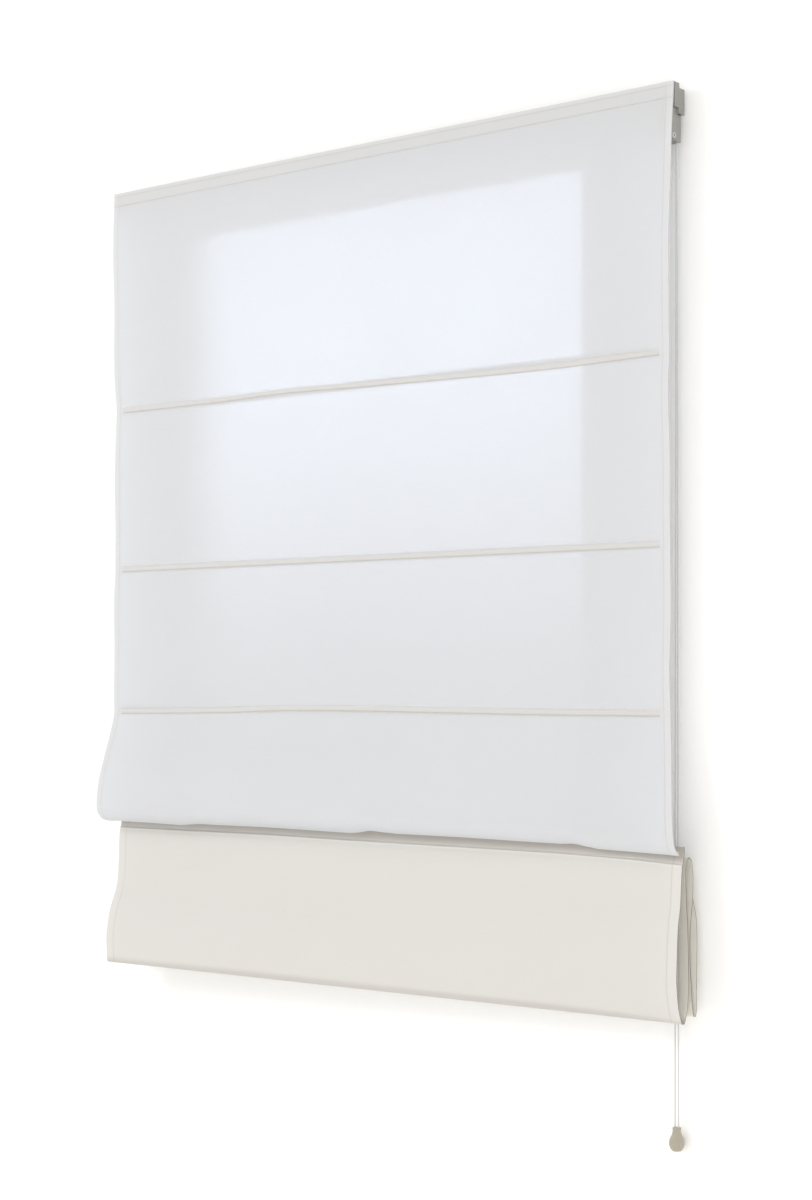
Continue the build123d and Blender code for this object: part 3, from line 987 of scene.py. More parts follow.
@dataclass
class UpperCloth:
    """The cloth from the tape to the first gathered rod: three sewn rod pockets, then a loose droop."""

    hanging: Hanging
    top_hem: float = 19.0
    tape_reach: float = 0.6
    flat_reach: float = 3.9
    flat_by: float = 60.0
    droop: Section = field(default_factory=lambda: Section(
        left=[
            (3.9, 793, 4), (13, 822, 7.5), (31, 860, 12.6), (46, 897, 16), (51.5, 927, 17.5),
            (50.5, 943, 18), (41, 954, 18), (27, 958, 18), (15.8, 954, 16),
        ],
        right=[
            (3.9, 793, -2), (5, 822, 0), (9, 860, 3.5), (13, 897, 7.5), (17, 930, 11),
            (19, 946, 13.5), (17.5, 956, 15.5), (13, 962.6, 17), (8.2, 959, 14),
        ],
    ))
    fullness: float = 2.4
    waist_left: tuple[float, ...] = (0.0, 9.0, 6.0, 4.0)
    waist_right: tuple[float, ...] = (0.0, -3.5, -2.5, -2.0)
    lip_at: tuple[float, ...] = (
        -482, -400, -329, -297, -171, -96, -6, 10, 27, 73, 191, 341, 360, 378, 397, 451, 500,
    )
    lip_up: tuple[float, ...] = (
        0, 0, -0.7, 2.5, 3.6, 3.1, 2.7, 4.6, 7.7, 5.6, 6.2, 5.4, 6.8, 4.2, 1.6, 0.7, 0,
    )

    def rows(self) -> np.ndarray:
        """Choose lengths of cloth down the sheet, closer together at hems, pockets and the fold.

        Returns:
            The lengths, in millimetres.
        """
        spans = [(0.0, 8.0, 1.0), (8.0, 26.0, 1.5)]
        start = 26.0
        for rod in self.hanging.rods:
            spans += [
                (start, rod - 14.0, 9.0),
                (rod - 14.0, rod - 7.0, 1.75),
                (rod - 7.0, rod + 7.0, 0.7),
                (rod + 7.0, rod + 14.0, 1.75),
            ]
            start = rod + 14.0
        bottom = self.bottom()
        spans += [(start, bottom - 60.0, 5.0), (bottom - 60.0, bottom, 1.5)]
        return spread(*spans) / MM

    def bottom(self) -> float:
        """Length of the sheet."""
        return self.droop.left[0][1] + float(self.droop.stations()[-1])

    def pocket_relief(self, down: np.ndarray) -> np.ndarray:
        """Depth of the sewn strips: a crown over the rod, a groove at each seam and a ridge outside it."""
        relief = np.zeros_like(down)
        for rod in self.hanging.rods:
            away = np.abs(down - rod)
            relief += 0.45 * bell(away, 2.6) - 0.55 * bell(away - 4.2, 0.8) + 0.55 * bell(away - 6.8, 1.9)
        return relief

    def ripples(self, x: np.ndarray, down: np.ndarray) -> np.ndarray:
        """Slack of hung cloth: a fullness with long sine waves on it, none at the tape, least at the rods.

        Args:
            x: Place along the blind, in millimetres.
            down: Length of cloth down the sheet.

        Returns:
            The slack towards the room.
        """
        calm = smoothstep((down - 30.0) / 120.0)
        for rod in self.hanging.rods:
            calm = calm * (1.0 - 0.85 * bell(down - rod, 26.0))
        waves = (
            0.9 * np.sin(x / 71.0 + 0.4 + down / 190.0)
            + 0.7 * np.sin(x / 39.0 - down / 130.0 + 2.1)
            + 0.8 * np.sin(x / 150.0 + 1.3) * np.sin(down / 83.0 + 0.6)
        )
        edge = np.minimum(x + 500.0, 500.0 - x)
        flutter = 1.3 * np.sin(down / 29.0 + np.sign(x) * 1.1) * bell(edge, 16.0)
        return calm * (self.fullness + waves + flutter)

    def bow(self, x: np.ndarray, down: np.ndarray) -> np.ndarray:
        """Rise of the first and third strips, and of the lip, above straight lines.

        Args:
            x: Place along the blind, in millimetres.
            down: Length of cloth down the sheet.

        Returns:
            The rise: smooth curves along the blind, each fading away from its own line as a bell.
        """
        along = np.array([-500.0, -265.0, -147.0, -34.0, 125.0, 322.0, 460.0, 500.0])
        first = np.array([1.5, 1.5, 3.3, 1.0, -2.0, -4.0, -1.6, -1.0])
        third = np.array([-4.6, -1.2, 2.5, 3.3, 2.0, 0.8, 0.7, 0.5])
        rods = self.hanging.rods
        rise = np.interp(x, self.lip_at, self.lip_up) * smoothstep((down - self.bottom() + 62.0) / 40.0)
        for row, rod, reach in ((first, rods[0], 120.0), (third, rods[2], 95.0)):
            curve = curve_through(along, row[:, None], x.ravel())[:, 0].reshape(x.shape)
            rise = rise + curve * bell(down - rod, reach)
        return rise

    def flat(self, down: np.ndarray, share: np.ndarray) -> np.ndarray:
        """Shape of the flat part: straight down, with sides that draw in a little below the tape.

        Args:
            down: Lengths of cloth down the sheet.
            share: From 0 at the left edge to 1 at the right one.

        Returns:
            Reach, drop and shift, rows by columns by 3.
        """
        reach = self.tape_reach + (self.flat_reach - self.tape_reach) * smoothstep(down / self.flat_by)
        stations = np.array([0.0, *self.hanging.rods])
        waists = (self.waist_left, self.waist_right)
        left, right = (curve_through(stations, np.array(side)[:, None], down) for side in waists)
        shift = left * (1.0 - share) + right * share
        return np.stack(np.broadcast_arrays(reach[:, None], down[:, None], shift), axis=-1)

    def build(self, material: bpy.types.Material) -> bpy.types.Object:
        """Make the sheet and let it ride on the headrail.

        Args:
            material: The cloth.

        Returns:
            The piece.
        """
        hanging = self.hanging
        across, down = hanging.columns(), self.rows()
        share = across / hanging.width
        start = self.droop.left[0][1]
        loose = self.droop.surface(np.clip(down - start, 0.0, None), share)
        grid = np.where((down > start)[:, None, None], loose, self.flat(down, share))
        reach, drop = grid[..., 0], grid[..., 1]
        x = (across - 0.5 * hanging.width)[None] + grid[..., 2]
        rows = np.broadcast_to(down[:, None], x.shape)
        inward = np.minimum(across, hanging.width - across) - hanging.side_hem
        crown = np.clip(inward / 4.0, 0.0, 1.0)[None]
        reach = reach + self.pocket_relief(down)[:, None] * crown + self.ripples(x, rows)
        drop = drop - self.bow(x, rows)
        in_top_hem = (1.0 - smoothstep((down - self.top_hem) / 1.5))[:, None]
        thickness = hanging.sheet + hanging.edge_thickness(across)[None] + np.zeros_like(x)
        thickness = np.minimum(thickness + (hanging.hem - hanging.sheet) * in_top_hem, 2.0) * MM
        sewing = np.stack(np.broadcast_arrays(across[None], down[:, None]), axis=-1) * MM
        piece = shell("upper_cloth", hanging.place(x, reach, drop), thickness, sewing)
        dress(piece, material)
        follow(piece, Body.HEADRAIL, Slot.CLOTH, "cloth_hanging")
        hanging.keep()
        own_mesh(piece)
        return piece


@dataclass
class FoldedCloth:
    """The gathered cloth: front fold, the panel behind it, the last panel and its hem round the bar."""

    hanging: Hanging
    rod_4: tuple[float, float] = (13.0, 3.0)
    rod_5: tuple[float, float] = (36.0, 8.0)
    rod_6: tuple[float, float] = (-3.0, -13.0)
    bar: tuple[float, float] = (-2.5, -12.5)
    bottom: float = 1168.0
    bar_end: float = 1162.0
    fold_radius: float = 3.85
    top_radius: float = 3.65
    hem_radius: float = 2.4
    top_slack: float = 2.0
    seam_at: float = 18.5

    def section(self) -> Section:
        """Lay out the whole path of the cloth, from the first gathered rod to the loose end of the hem.

        Returns:
            The section: front fold, the way up behind it, the hindmost rod, the last panel and its hem.
        """
        gather = self.hanging.gather
        left = [
            (12.5, 948, 10.5), (13.0, 962, 10.5), (16.6, 976, 10.5), (16.6, 1018, 10.2), (19.5, 1056, 8.6),
            (31.5, 1096, 4.7), (39.2, 1132, 5.5), (40.6, 1152, 7.0), (40.4, 1160, 7.0),
        ]
        left += round_rod((self.rod_5[0], self.bottom), self.fold_radius, (0, -180), 9, (7, 7))
        left += [(30.5, 1150, 6), (16.0, 1068, 6), (3.0, 1004, 6)]
        left += round_rod((self.rod_6[0], gather), self.top_radius, (0, 180), 9, (5, 5), self.top_slack)
        left += [(-6.2, 1004, 4), (-5.6, 1066, 4), (-1.2, 1112, 4), (-0.1, 1130, 3)]
        left += round_rod((self.bar[0], self.bar_end), self.hem_radius, (0, -180), 7, (3, 2))
        left += [(-4.9, 1130, 2), (-5.5, 1112, 2), (-7.2, 1040, 2), (-7.6, 1012, 2)]
        right = [
            (4.6, 953, 0), (5.4, 966, 0), (9.6, 979, 0), (12.6, 1026, 0), (17.6, 1050, 0),
            (20.8, 1091, 0), (21.8, 1124, 0), (18.6, 1150, 0), (15.2, 1161, 0),
        ]
        right += round_rod((self.rod_5[1], self.bottom), self.fold_radius, (0, -180), 9, (0, 1))
        right += [(1.0, 1154, 2), (-8.2, 1072, -2.5), (-8.9, 1004, -6)]
        right += round_rod((self.rod_6[1], gather), self.top_radius, (0, 180), 9, (-6, -2), self.top_slack)
        right += [(-14.2, 1004, 1), (-14.4, 1066, -3.5), (-11.4, 1112, -1), (-10.1, 1130, 1)]
        right += round_rod((self.bar[1], self.bar_end), self.hem_radius, (0, -180), 7, (4, 5))
        right += [(-14.9, 1130, 5.5), (-15.4, 1112, 5.5), (-16.9, 1040, 3.5), (-17.3, 1012, -3)]
        return Section(left=left, right=right)

    def build(self, material: bpy.types.Material) -> bpy.types.Object:
        """Make the sheet.

        Args:
            material: The cloth.

        Returns:
            The piece.
        """
        section = self.section()
        stations = section.stations()
        spans = list(zip(stations[:-1], stations[1:]))
        steps = [np.linspace(a, b, max(2, math.ceil((b - a) / 6.0) + 1)) for a, b in spans]
        down = np.unique(np.round(np.concatenate([*steps, np.arange(8.0, 34.0, 1.0)]), 4))
        across = self.hanging.columns()
        share = across / self.hanging.width
        grid = section.surface(down, share)
        fold = stations[8]
        x = (across - 0.5 * self.hanging.width + self.hanging.shift)[None] + grid[..., 2]
        above_fold = 1.0 - smoothstep((down - fold + 40.0) / 26.0)
        front = (smoothstep((down - 30.0) / 40.0) * above_fold)[:, None]
        slack = 1.1 * np.sin(x / 83.0 + 0.8) + 0.7 * np.sin(x / 41.0 + down[:, None] / 60.0)
        seam = self.seam_down(share)[None]
        ridge = 0.9 * bell(down[:, None] - seam - 1.2, 1.6) - 0.8 * bell(down[:, None] - seam + 1.4, 1.5)
        reach = grid[..., 0] + front * slack + ridge
        drop = grid[..., 1]
        thickness = self.hanging.sheet + 0.6 * self.hanging.edge_thickness(across)[None] + np.zeros_like(x)
        below_seam = down[:, None] - seam + self.seam_at
        sewing = np.stack(np.broadcast_arrays(across[None], below_seam), axis=-1) * MM
        piece = shell("folded_cloth", self.hanging.place(x, reach, drop), thickness * MM, sewing)
        dress(piece, material)
        follow(piece, Body.STACK, Slot.CLOTH, "cloth_stack")
        return piece

    def seam_down(self, share: np.ndarray) -> np.ndarray:
        """Length of cloth above the seam under the first gathered rod, across the blind."""
        return np.interp(share, (0.0, 0.3, 0.5, 0.8, 0.92, 1.0), (20.5, 18.0, 18.5, 18.0, 20.0, 24.0))

    def fold_down(self) -> float:
        """Length of cloth from its top to the back of the front fold, in metres."""
        return float(self.section().stations()[14]) * MM

    def fold_bottom(self) -> float:
        """Length of cloth from its top to the lowest line of the front fold, in metres."""
        return float(self.section().stations()[12]) * MM

    def hem_seam(self) -> float:
        """Length of cloth from the first gathered rod to the hem's stitches, in metres."""
        return float(self.section().stations()[-1] - 6.0) * MM


@dataclass
class RodPocket:
    """Tunnel of cloth sewn to the back of the sheet, that a rod lies in."""

    hanging: Hanging
    number: int
    drop: float
    reach: tuple[float, float]
    shift: float
    whole: bool = False
    radius: float = 3.45
    end_inset: float = 22.0

    def outline(self) -> np.ndarray:
        """Points across the tunnel: a flange, the way round the back of the rod, and the other flange."""
        if self.whole:
            return np.array(round_rod((0.0, 0.0), self.radius, (90.0, 449.0), 25))[:, :2]
        back = np.array(round_rod((0.0, 0.0), self.radius, (62.0, 298.0), 17))[:, :2]
        return np.vstack([[(3.0, -5.6), (2.95, -4.6)], back, [(2.95, 4.6), (3.0, 5.6)]])

    def build(self, material: bpy.types.Material, body: Body) -> bpy.types.Object:
        """Make the tunnel.

        Args:
            material: The cloth.
            body: The body of its rod.

        Returns:
            The piece.
        """
        half = 0.5 * self.hanging.width
        across = spread((-half + self.end_inset, half - self.end_inset, 12.0)) / MM
        share = (across / self.hanging.width + 0.5)[None]
        outline = self.outline()
        reach = self.reach[0] * (1.0 - share) + self.reach[1] * share + outline[:, :1]
        drop = self.drop + outline[:, 1:] + np.zeros_like(share)
        x = np.broadcast_to(across[None] + self.shift, reach.shape)
        steps = np.linalg.norm(np.diff(outline, axis=0), axis=1)
        length = np.concatenate([[0.0], np.cumsum(steps)])
        sewing = np.stack(np.broadcast_arrays(across[None] + half, length[:, None]), axis=-1) * MM
        thickness = np.full(reach.shape, 0.45 * MM)
        piece = shell(f"rod_pocket_{self.number}", self.hanging.place(x, reach, drop), thickness, sewing)
        dress(piece, material)
        follow(piece, body, Slot.CLOTH)
        return piece


@dataclass
class FirstRod:
    """Highest rod, a little short of the cord lock's side, which it passes when the blind is raised."""

    hanging: Hanging
    half_length: float = 479.3
    radius: float = 3.0
    rings: int = 49

    def build(self, material: bpy.types.Material) -> bpy.types.Object:
        """Make the rod.

        Args:
            material: The rods' finish.

        Returns:
            The piece.
        """
        across = np.linspace(-self.half_length, self.half_length, self.rings)
        drop = np.full(self.rings, self.hanging.rods[0])
        path = self.hanging.place(across, np.zeros(self.rings), drop)
        piece = tube("rod_1_look", path, self.radius * MM, 24)
        dress(piece, material)
        follow(piece, Body.ROD_1, Slot.ROD, "rod_1")
        return piece


@dataclass
class Cords:
    """Lift cords from the gathered rods to the lock, and the two pull cords that come out of it."""

    hanging: Hanging
    radius: float = 0.9 * MM
    rows: tuple[float, float] = (-0.01185, -0.00985)
    ring_y: float = -0.022
    cord_x: float = 0.380
    exit_x: float = 0.4925
    slot_y: float = -0.01085
    run_drop: float = 16.0
    lock_drop: float = 73.0
    rail_drop: float = 44.0
    knob_top: float = -1.253
    bore_top: float = -1.2695
    pitch: float = 5.0 * MM
    bend: float = 10.0 * MM

    def height(self, drop: float) -> float:
        """Height of a drop below the top edge, in metres."""
        return (self.hanging.top - drop) * MM

    def hanging_part(self, name: str, x: float, row: float, tie_y: float) -> bpy.types.Object:
        """Make the part of a lift cord below the rail; on the blind this part shortens as the cloth is
        raised.

        Args:
            name: Side that it is on.
            x: Place along the blind.
            row: Its distance from the wall in the rail, as a Y value.
            tie_y: Y of its tie on the gathered rod.

        Returns:
            The piece.
        """
        controls = [
            (x, tie_y, self.height(972.0)),
            (x, tie_y + 0.002, self.height(930.0)),
            *((x, self.ring_y, self.height(rod)) for rod in reversed(self.hanging.rods)),
            (x, 0.5 * (self.ring_y + row), self.height(170.0)),
            (x, row, self.height(60.0)),
            (x, row, self.height(self.rail_drop)),
        ]
        piece = tube(f"lift_cord_{name}_hanging", route_points(f"lift_route_{name}", controls), self.radius)
        follow(piece, Body.HEADRAIL, Slot.CORD)
        self.height(self.rail_drop)
        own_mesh(piece)
        return piece

    def railed_part(self, name: str, x: float, row: float) -> bpy.types.Object:
        """Make the part of a lift cord that runs up, along the rail and down into the lock.

        Args:
            name: Side that it comes from.
            x: Place along the blind where it enters the rail.
            row: Its distance from the wall, as a Y value.

        Returns:
            The piece.
        """
        run, bend = self.height(self.run_drop), self.bend
        controls = [
            (x, row, self.height(self.rail_drop)),
            (x, row, run - bend),
            (x, row, run),
            (x + bend, row, run),
            (0.5 * (x + self.exit_x), row, run - 0.0006),
            (self.exit_x - bend, row, run),
            (self.exit_x, row, run),
            (self.exit_x, row, run - bend),
            (self.exit_x, row, self.height(self.lock_drop)),
        ]
        piece = tube(f"lift_cord_{name}_railed", route_points(f"rail_route_{name}", controls), self.radius)
        follow(piece, Body.HEADRAIL, Slot.CORD, f"lift_cord_{name}")
        return piece

    def lift(self, material: bpy.types.Material) -> list[bpy.types.Object]:
        """Make both lift cords, each in two parts and tied to the gathered rod.

        Args:
            material: The cord.

        Returns:
            The pieces.
        """
        made = []
        for name, x, row in (("left", -self.cord_x, self.rows[0]), ("right", self.cord_x, self.rows[1])):
            share = (x / MM - self.hanging.shift) / self.hanging.width + 0.5
            tie_y = -(self.hanging.plane + 13.0 - 10.0 * share) * MM + 0.008
            made.append(self.hanging_part(name, x, row, tie_y))
            made.append(self.railed_part(name, x, row))
            tie = trefoil(f"cord_tie_{name}", (x, tie_y, self.height(977.0)), 0.85 * MM, 0.75 * MM)
            follow(tie, Body.STACK, Slot.CORD)
            made.append(tie)
        for piece in made:
            dress(piece, material)
        return made

    def pull(self, material: bpy.types.Material, knob: bpy.types.Object) -> list[bpy.types.Object]:
        """Make both pull cords and their knot inside the knob.

        Args:
            material: The cord.
            knob: The knob's node; not used.

        Returns:
            The pieces.
        """
        knot = trefoil("pull_knot", (self.exit_x, self.slot_y, -1.2733), 0.86 * MM, 0.85 * MM)
        dress(knot, material)
        follow(knot, Body.PULL, Slot.CORD, "cord_knot")
        made = [knot]
        out = self.height(self.lock_drop)
        for name, row, side in (("left", self.rows[0], -0.5), ("right", self.rows[1], 0.5)):
            end_x = self.exit_x + side * self.pitch
            controls = [
                (self.exit_x, row, out), (self.exit_x, row, out - 0.012),
                (self.exit_x + 0.2 * side * self.pitch, row + 0.1 * MM, -0.30),
                (self.exit_x + 0.6 * side * self.pitch, 0.5 * (row + self.slot_y), -0.70),
                (self.exit_x + 0.95 * side * self.pitch, self.slot_y, -1.10),
                (end_x, self.slot_y, self.knob_top), (end_x, self.slot_y, self.bore_top),
            ]
            points = route_points(f"pull_route_{name}", controls, 20)
            piece = tube(f"pull_cord_{name}_look", points, self.radius)
            dress(piece, material)
            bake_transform(piece)
            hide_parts(f"pull_cord_{name}")
            log.info("%s: %d points", piece.name, len(points))
            made.append(piece)
        return made


def trefoil(name: str, centre: tuple[float, float, float], scale: float, radius: float) -> bpy.types.Object:
    """Overhand knot of cord: sin t + 2 sin 2t across, cos t − 2 cos 2t back, and 1.6 times −sin 3t up.

    Args:
        name: The piece's name.
        centre: Middle of the knot.
        scale: Size of one unit of the formula.
        radius: Radius of the cord.

    Returns:
        The new object.
    """
    t = np.linspace(0.12, 2.0 * np.pi - 0.12, 90)
    across = np.sin(t) + 2.0 * np.sin(2.0 * t)
    out = np.cos(t) - 2.0 * np.cos(2.0 * t)
    path = np.stack([across, out, -1.6 * np.sin(3.0 * t)], axis=-1)
    return tube(name, np.array(centre) + scale * path, radius, 10)


def lathe(
    name: str, profile: np.ndarray, centre: tuple[float, float, float], sides: int = 28
) -> bpy.types.Object:
    """Turned piece about an axis along Y: each profile point carried round a circle.

    Args:
        name: The piece's name.
        profile: Radius and distance towards the room of each point, from the face to the back.
        centre: Middle of the back, on the axis.
        sides: Points round the axis.

    Returns:
        The new object.
    """
    angle = 2.0 * np.pi * np.arange(sides) / sides
    radius, out = profile[:, :1], profile[:, 1:]
    across, up = radius * np.cos(angle), radius * np.sin(angle)
    points = np.stack(np.broadcast_arrays(across, -out, up), axis=-1)
    turn = np.arange(sides)[None] / sides
    own = np.stack(np.broadcast_arrays(turn, np.cumsum(radius)[:, None], 0.0), axis=-1)
    faces = grid_faces(len(profile), sides, wrap=True).tolist()
    face = list(range(sides))
    back = [(len(profile) - 1) * sides + i for i in reversed(range(sides))]
    points = points.reshape(-1, 3) + np.array(centre)
    return put_mesh(name, points, faces + [face, back], own.reshape(-1, 3))


@dataclass
class WallScrews:
    """Four pan-head screws with a hex socket, two through each bracket's foot."""

    places: tuple[tuple[float, float], ...] = (
        (-0.43, 0.007), (-0.43, -0.007), (0.43, 0.007), (0.43, -0.007),
    )
    plate: float = 2.0 * MM

    def build(self, material: bpy.types.Material) -> list[bpy.types.Object]:
        """Make the screws: a socket, a rim, a domed head and a shank through the plate.

        Args:
            material: The screws' finish.

        Returns:
            The pieces.
        """
        profile = np.array([
            (0.2, 0.7), (1.2, 0.7), (1.3, 2.1), (1.9, 2.25), (3.0, 1.9), (3.8, 1.1),
            (4.0, 0.4), (3.9, 0.02), (2.2, 0.0), (2.1, -1.9), (0.4, -1.95),
        ]) * MM
        made = []
        for number, (x, z) in enumerate(self.places, start=1):
            piece = lathe(f"wall_screw_{number}", profile, (x, -self.plate, z))
            dress(piece, material)
            follow(piece, Body.HEADRAIL, Slot.STEEL)
            made.append(piece)
        return made


@dataclass
class Studio:
    """Camera, wall, floor and lights."""

    eye: tuple[float, float, float] = (1.913, -2.327, -0.696)
    turn: float = 38.7
    lens: float = 64.5
    shift: float = 0.0692
    half_room: float = 5.0
    room_front: float = -6.0
    wall: float = 0.0006
    floor: float = -2.30
    ceiling: float = 3.0
    paint: Colour = (0.94, 0.935, 0.924)
    glow_left: float = -0.345
    glow_right: float = 0.367
    glow_top: float = -0.038
    glow_bottom: float = -0.90
    fade_to: float = -0.74
    fade_from: float = -0.22
    fade_side: float = 0.10
    glow_least: float = 0.12
    wall_lift: float = 0.09

    def camera(self) -> None:
        """Stand the camera at the photograph's viewing angle."""
        camera = bpy.data.cameras.new("camera")
        camera.lens = self.lens
        camera.sensor_width = 36.0
        camera.shift_y = self.shift
        camera.clip_end = 50.0
        holder = bpy.data.objects.new("camera", camera)
        holder.location = self.eye
        holder.rotation_euler = (math.pi / 2, 0.0, math.radians(self.turn))
        bpy.context.scene.collection.objects.link(holder)
        bpy.context.scene.camera = holder

    def backdrop_material(self, name: str, colour: Colour) -> bpy.types.Material:
        """Make plain overlit paint, clear from behind so that the blind's back can be looked at.

        Args:
            name: The material's name.
            colour: Colour of the paint.

        Returns:
            The material.
        """
        recipe = Recipe(name)
        paint = recipe.node("ShaderNodeBsdfPrincipled")
        paint.inputs["Base Color"].default_value = (*colour, 1.0)
        paint.inputs["Roughness"].default_value = 1.0
        paint.inputs["Specular IOR Level"].default_value = 0.0
        paint.inputs["Emission Color"].default_value = (*colour, 1.0)
        paint.inputs["Emission Strength"].default_value = self.wall_lift
        clear = recipe.node("ShaderNodeBsdfTransparent")
        side = recipe.node("ShaderNodeNewGeometry")
        mixed = recipe.node("ShaderNodeMixShader")
        recipe.links.new(side.outputs["Backfacing"], mixed.inputs[0])
        recipe.links.new(paint.outputs[0], mixed.inputs[1])
        recipe.links.new(clear.outputs[0], mixed.inputs[2])
        return recipe.close(mixed)

    def backdrop(self) -> None:
        """Add the wall just behind the blind and the floor below it."""
        half, wall, floor = self.half_room, self.wall, self.floor
        foot = [(half, wall, floor), (-half, wall, floor)]
        ceiling = [(-half, wall, self.ceiling), (half, wall, self.ceiling)]
        front = [(-half, self.room_front, floor), (half, self.room_front, floor)]
        for name, points in (("wall", foot[::-1] + ceiling[::-1]), ("floor", front + foot)):
            piece = put_mesh(name, np.array(points), [[0, 1, 2, 3]])
            dress(piece, self.backdrop_material(f"{name}_paint", self.paint))

    def area(
        self,
        name: str,
        place: tuple[float, float, float],
        aim: tuple[float, float, float],
        size: tuple[float, float],
        power: float,
        colour: Colour,
    ) -> bpy.types.Light:
        """Add a rectangular light that the camera doesn't see.

        Args:
            name: The light's name.
            place: Its middle.
            aim: Point that it faces.
            size: Width and height in metres.
            power: Power in watts.
            colour: Colour of its light.

        Returns:
            The light's data.
        """
        light = bpy.data.lights.new(name, "AREA")
        light.shape = "RECTANGLE"
        light.size, light.size_y = size
        light.energy = power
        light.color = colour
        holder = bpy.data.objects.new(name, light)
        holder.location = place
        holder.rotation_euler = (Vector(aim) - Vector(place)).to_track_quat("-Z", "Y").to_euler()
        holder.visible_camera = False
        bpy.context.scene.collection.objects.link(holder)
        return light

    def lights(self) -> None:
        """Add the soft key light, the window's light behind the cloth and the room's light."""
        self.area("key", (-2.4, -2.8, 1.1), (0.0, 0.0, -0.5), (1.2, 1.2), 34.0, (1.0, 0.99, 0.97))
        self.area("right", (2.6, -1.5, -0.3), (0.5, 0.0, -0.5), (1.0, 2.0), 10.0, (1.0, 0.955, 0.89))
        self.area("low", (0.5, -2.2, -1.8), (0.0, 0.0, -1.1), (1.6, 0.8), 1.5, (1.0, 0.98, 0.95))
        width, height = self.glow_right - self.glow_left, self.glow_top - self.glow_bottom
        x, z = 0.5 * (self.glow_left + self.glow_right), 0.5 * (self.glow_top + self.glow_bottom)
        glow = self.area("window", (x, -0.003, z), (x, -1.0, z), (width, height), 1.8, (0.82, 0.90, 1.0))
        glow.spread = math.radians(30.0)
        self.window_falloff(glow)
        world = bpy.data.worlds.new("room")
        world.use_nodes = True
        world.node_tree.nodes["Background"].inputs["Color"].default_value = (1.0, 1.0, 1.0, 1.0)
        world.node_tree.nodes["Background"].inputs["Strength"].default_value = 0.93
        bpy.context.scene.world = world
        bpy.context.scene.view_settings.view_transform = "Standard"

    def window_falloff(self, light: bpy.types.Light) -> None:
        """Let the window's light fade downwards and, over a short way, at its left side.

        Args:
            light: The window's light.
        """
        light.use_nodes = True
        nodes, links = light.node_tree.nodes, light.node_tree.links
        place = nodes.new("ShaderNodeSeparateXYZ")
        links.new(nodes.new("ShaderNodeNewGeometry").outputs["Position"], place.inputs[0])
        product = nodes.new("ShaderNodeMath")
        product.operation = "MULTIPLY"
        left = self.glow_left
        fades = (("Z", self.fade_to, self.fade_from), ("X", left, left + self.fade_side))
        for socket, (axis, start, end) in zip(product.inputs, fades):
            fade = nodes.new("ShaderNodeMapRange")
            fade.interpolation_type = "SMOOTHSTEP"
            links.new(place.outputs[axis], fade.inputs["Value"])
            fade.inputs["From Min"].default_value = start
            fade.inputs["From Max"].default_value = end
            fade.inputs["To Min"].default_value = self.glow_least
            links.new(fade.outputs[0], socket)
        links.new(product.outputs[0], nodes["Emission"].inputs["Strength"])

    def build(self) -> None:
        """Set up the whole studio."""
        self.camera()
        self.backdrop()
        self.lights()


def node_finishes() -> dict[str, bpy.types.Material]:
    """Make the materials of the shown CAD nodes.

    Returns:
        The materials by the record's slot.
    """
    white = (0.84, 0.84, 0.82)
    drawn, moulded, sprayed, turned = Grain.DRAWN, Grain.MOULDED, Grain.SPRAYED, Grain.TURNED
    rail, worn_rail = (0.60, 0.60, 0.585), (0.52, 0.52, 0.51)
    cap, worn_cap = (0.29, 0.285, 0.265), (0.24, 0.235, 0.22)
    steel, worn_steel = (0.55, 0.55, 0.54), (0.46, 0.46, 0.45)
    lock, worn_lock = (0.30, 0.295, 0.275), (0.25, 0.245, 0.23)
    brass, worn_brass = (0.78, 0.62, 0.34), (0.62, 0.47, 0.24)
    nickel, worn_nickel = (0.70, 0.70, 0.69), (0.58, 0.58, 0.57)
    knob, worn_knob = (0.42, 0.382, 0.30), (0.352, 0.32, 0.252)
    finishes = [
        SolidFinish("rail_metal", rail, worn_rail, (0.32, 0.46), drawn, metallic=0.75),
        SolidFinish("cap_plastic", cap, worn_cap, (0.42, 0.56), moulded),
        SolidFinish("bracket_steel", steel, worn_steel, (0.34, 0.5), sprayed, coat=0.15),
        SolidFinish("guide_plastic", white, (0.76, 0.76, 0.73), (0.38, 0.52), moulded),
        SolidFinish("lock_metal", lock, worn_lock, (0.34, 0.5), sprayed, coat=0.1),
        SolidFinish("roller_brass", brass, worn_brass, (0.26, 0.42), drawn, metallic=1.0),
        SolidFinish("eyelet_metal", nickel, worn_nickel, (0.2, 0.34), drawn, metallic=1.0),
        SolidFinish("knob_plastic", knob, worn_knob, (0.36, 0.5), turned, coat=0.1),
        SolidFinish("rod", (0.80, 0.79, 0.75), (0.70, 0.69, 0.65), (0.28, 0.4), drawn),
        SolidFinish("bar_metal", white, (0.76, 0.76, 0.74), (0.34, 0.48), sprayed),
        SolidFinish("ring_plastic", (0.86, 0.87, 0.86), (0.78, 0.79, 0.78), (0.2, 0.34), moulded),
        TapeFinish("tape"),
    ]
    return {finish.name: finish.build() for finish in finishes}


def upper_finish(hanging: Hanging) -> ClothFinish:
    """Finish of the hanging cloth, with a strip at each rod and a stitched top hem."""
    strips = tuple(drop * MM for drop in hanging.rods)
    return ClothFinish("cloth_upper", strips=strips, seams=(0.0203, 0.0056), hems=((0.0, 0.0195),))


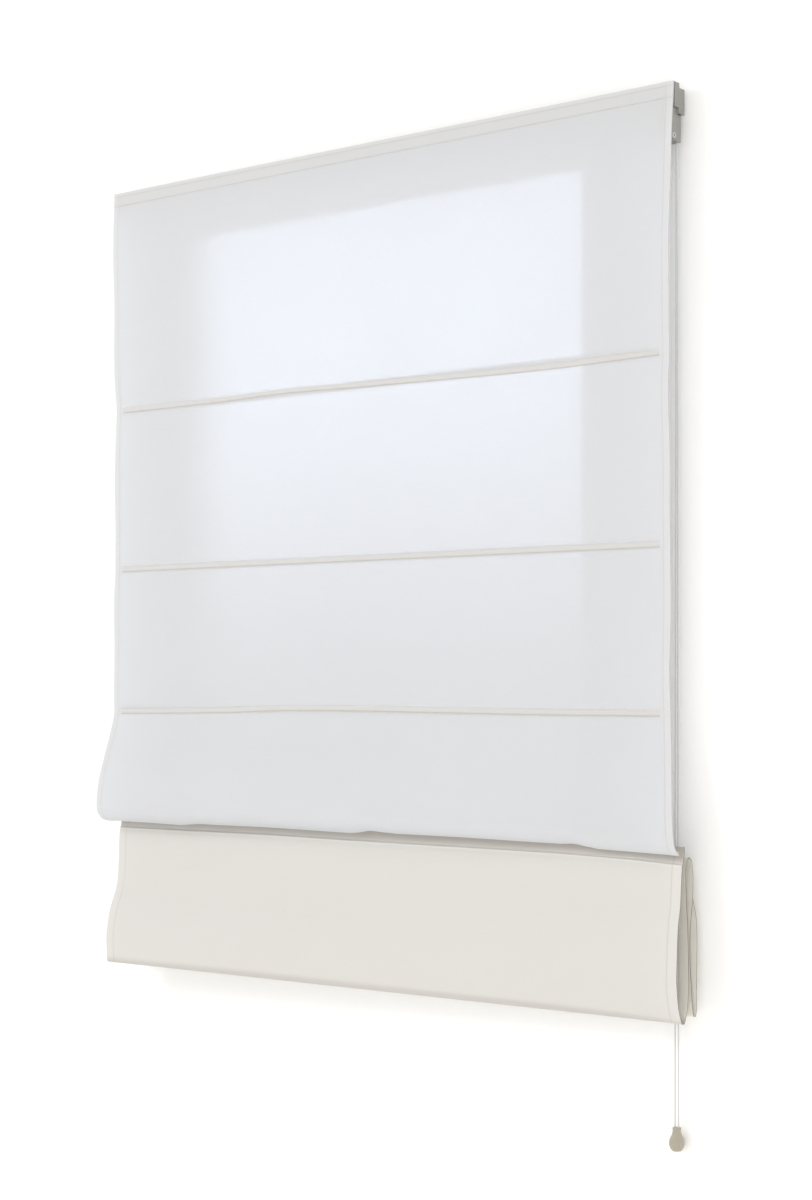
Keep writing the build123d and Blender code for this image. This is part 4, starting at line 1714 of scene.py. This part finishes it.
def folded_finish(folded: FoldedCloth) -> ClothFinish:
    """Finish of the folded cloth: painted warmer and darker as shade, because no window light comes through
    it.

    Args:
        folded: The cloth, for the places of its seams and folds.

    Returns:
        The finish.
    """
    seam, hem = folded.seam_at * MM, folded.hem_seam()
    return ClothFinish(
        "cloth_folded",
        # Painted shade: the cloth's colour, warmer and darker than the hanging cloth's.
        colour=(0.815, 0.793, 0.752),
        shade=(0.775, 0.753, 0.713),
        # Painted shade: a near-black rim for the deep gaps between the folded layers.
        rim=(0.17, 0.155, 0.12),
        # Painted shade and painted warm light behind the front fold.
        painted_back_light=(0.90, 0.865, 0.79),
        through=0.2,
        side_hem=0.016,
        lip_shadow=seam,
        shaded_folds=(folded.fold_bottom(),),
        seams=(seam, hem),
        hems=((hem, hem + 0.01),),
        highlit_crests=((folded.seam_at + 1.4) * MM,),
        painted_back_light_from=folded.fold_down(),
    )


def build_pockets(hanging: Hanging, folded: FoldedCloth) -> None:
    """Make the six rod pockets: three on the hanging cloth and three in the gathered part.

    Args:
        hanging: Sizes of the hanging cloth.
        folded: The gathered cloth, for the places of its rods.
    """
    finish = ClothFinish("cloth_pocket", colour=(0.84, 0.84, 0.82), side_hem=0.004, through=0.15)
    material = finish.build()
    bodies = (Body.ROD_1, Body.ROD_2, Body.ROD_3)
    for number, (drop, body) in enumerate(zip(hanging.rods, bodies), start=1):
        RodPocket(hanging, number, drop, (0.0, 0.0), 0.0).build(material, body)
    gathered = [
        RodPocket(hanging, 4, hanging.gather, folded.rod_4, hanging.shift),
        RodPocket(hanging, 5, folded.bottom, folded.rod_5, hanging.shift, whole=True),
        RodPocket(hanging, 6, hanging.gather, folded.rod_6, hanging.shift, whole=True),
    ]
    for pocket in gathered:
        pocket.build(material, Body.STACK)


def main() -> None:
    """Build the looks round the frame, in order, and report each piece."""
    logging.basicConfig(level=logging.INFO, format="%(message)s")
    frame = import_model()
    Studio().build()
    nodes = frame["nodes"]
    hanging = Hanging()
    cord = CordFinish("cord").build()
    cords = Cords(hanging)
    cords.pull(cord, nodes["pull_knob"])
    cords.lift(cord)
    UpperCloth(hanging).build(upper_finish(hanging).build())
    folded = FoldedCloth(hanging)
    folded.build(folded_finish(folded).build())
    build_pockets(hanging, folded)
    materials = node_finishes()
    WallScrews().build(materials["bracket_steel"])
    FirstRod(hanging).build(materials["rod"])
    for part in frame["record"]["subparts"]:
        if part["material_slot"] in materials:
            dress(nodes[part["node"]], materials[part["material_slot"]])
            log.info("%s: %s", part["node"], part["material_slot"])


if __name__ == "__main__":
    main()
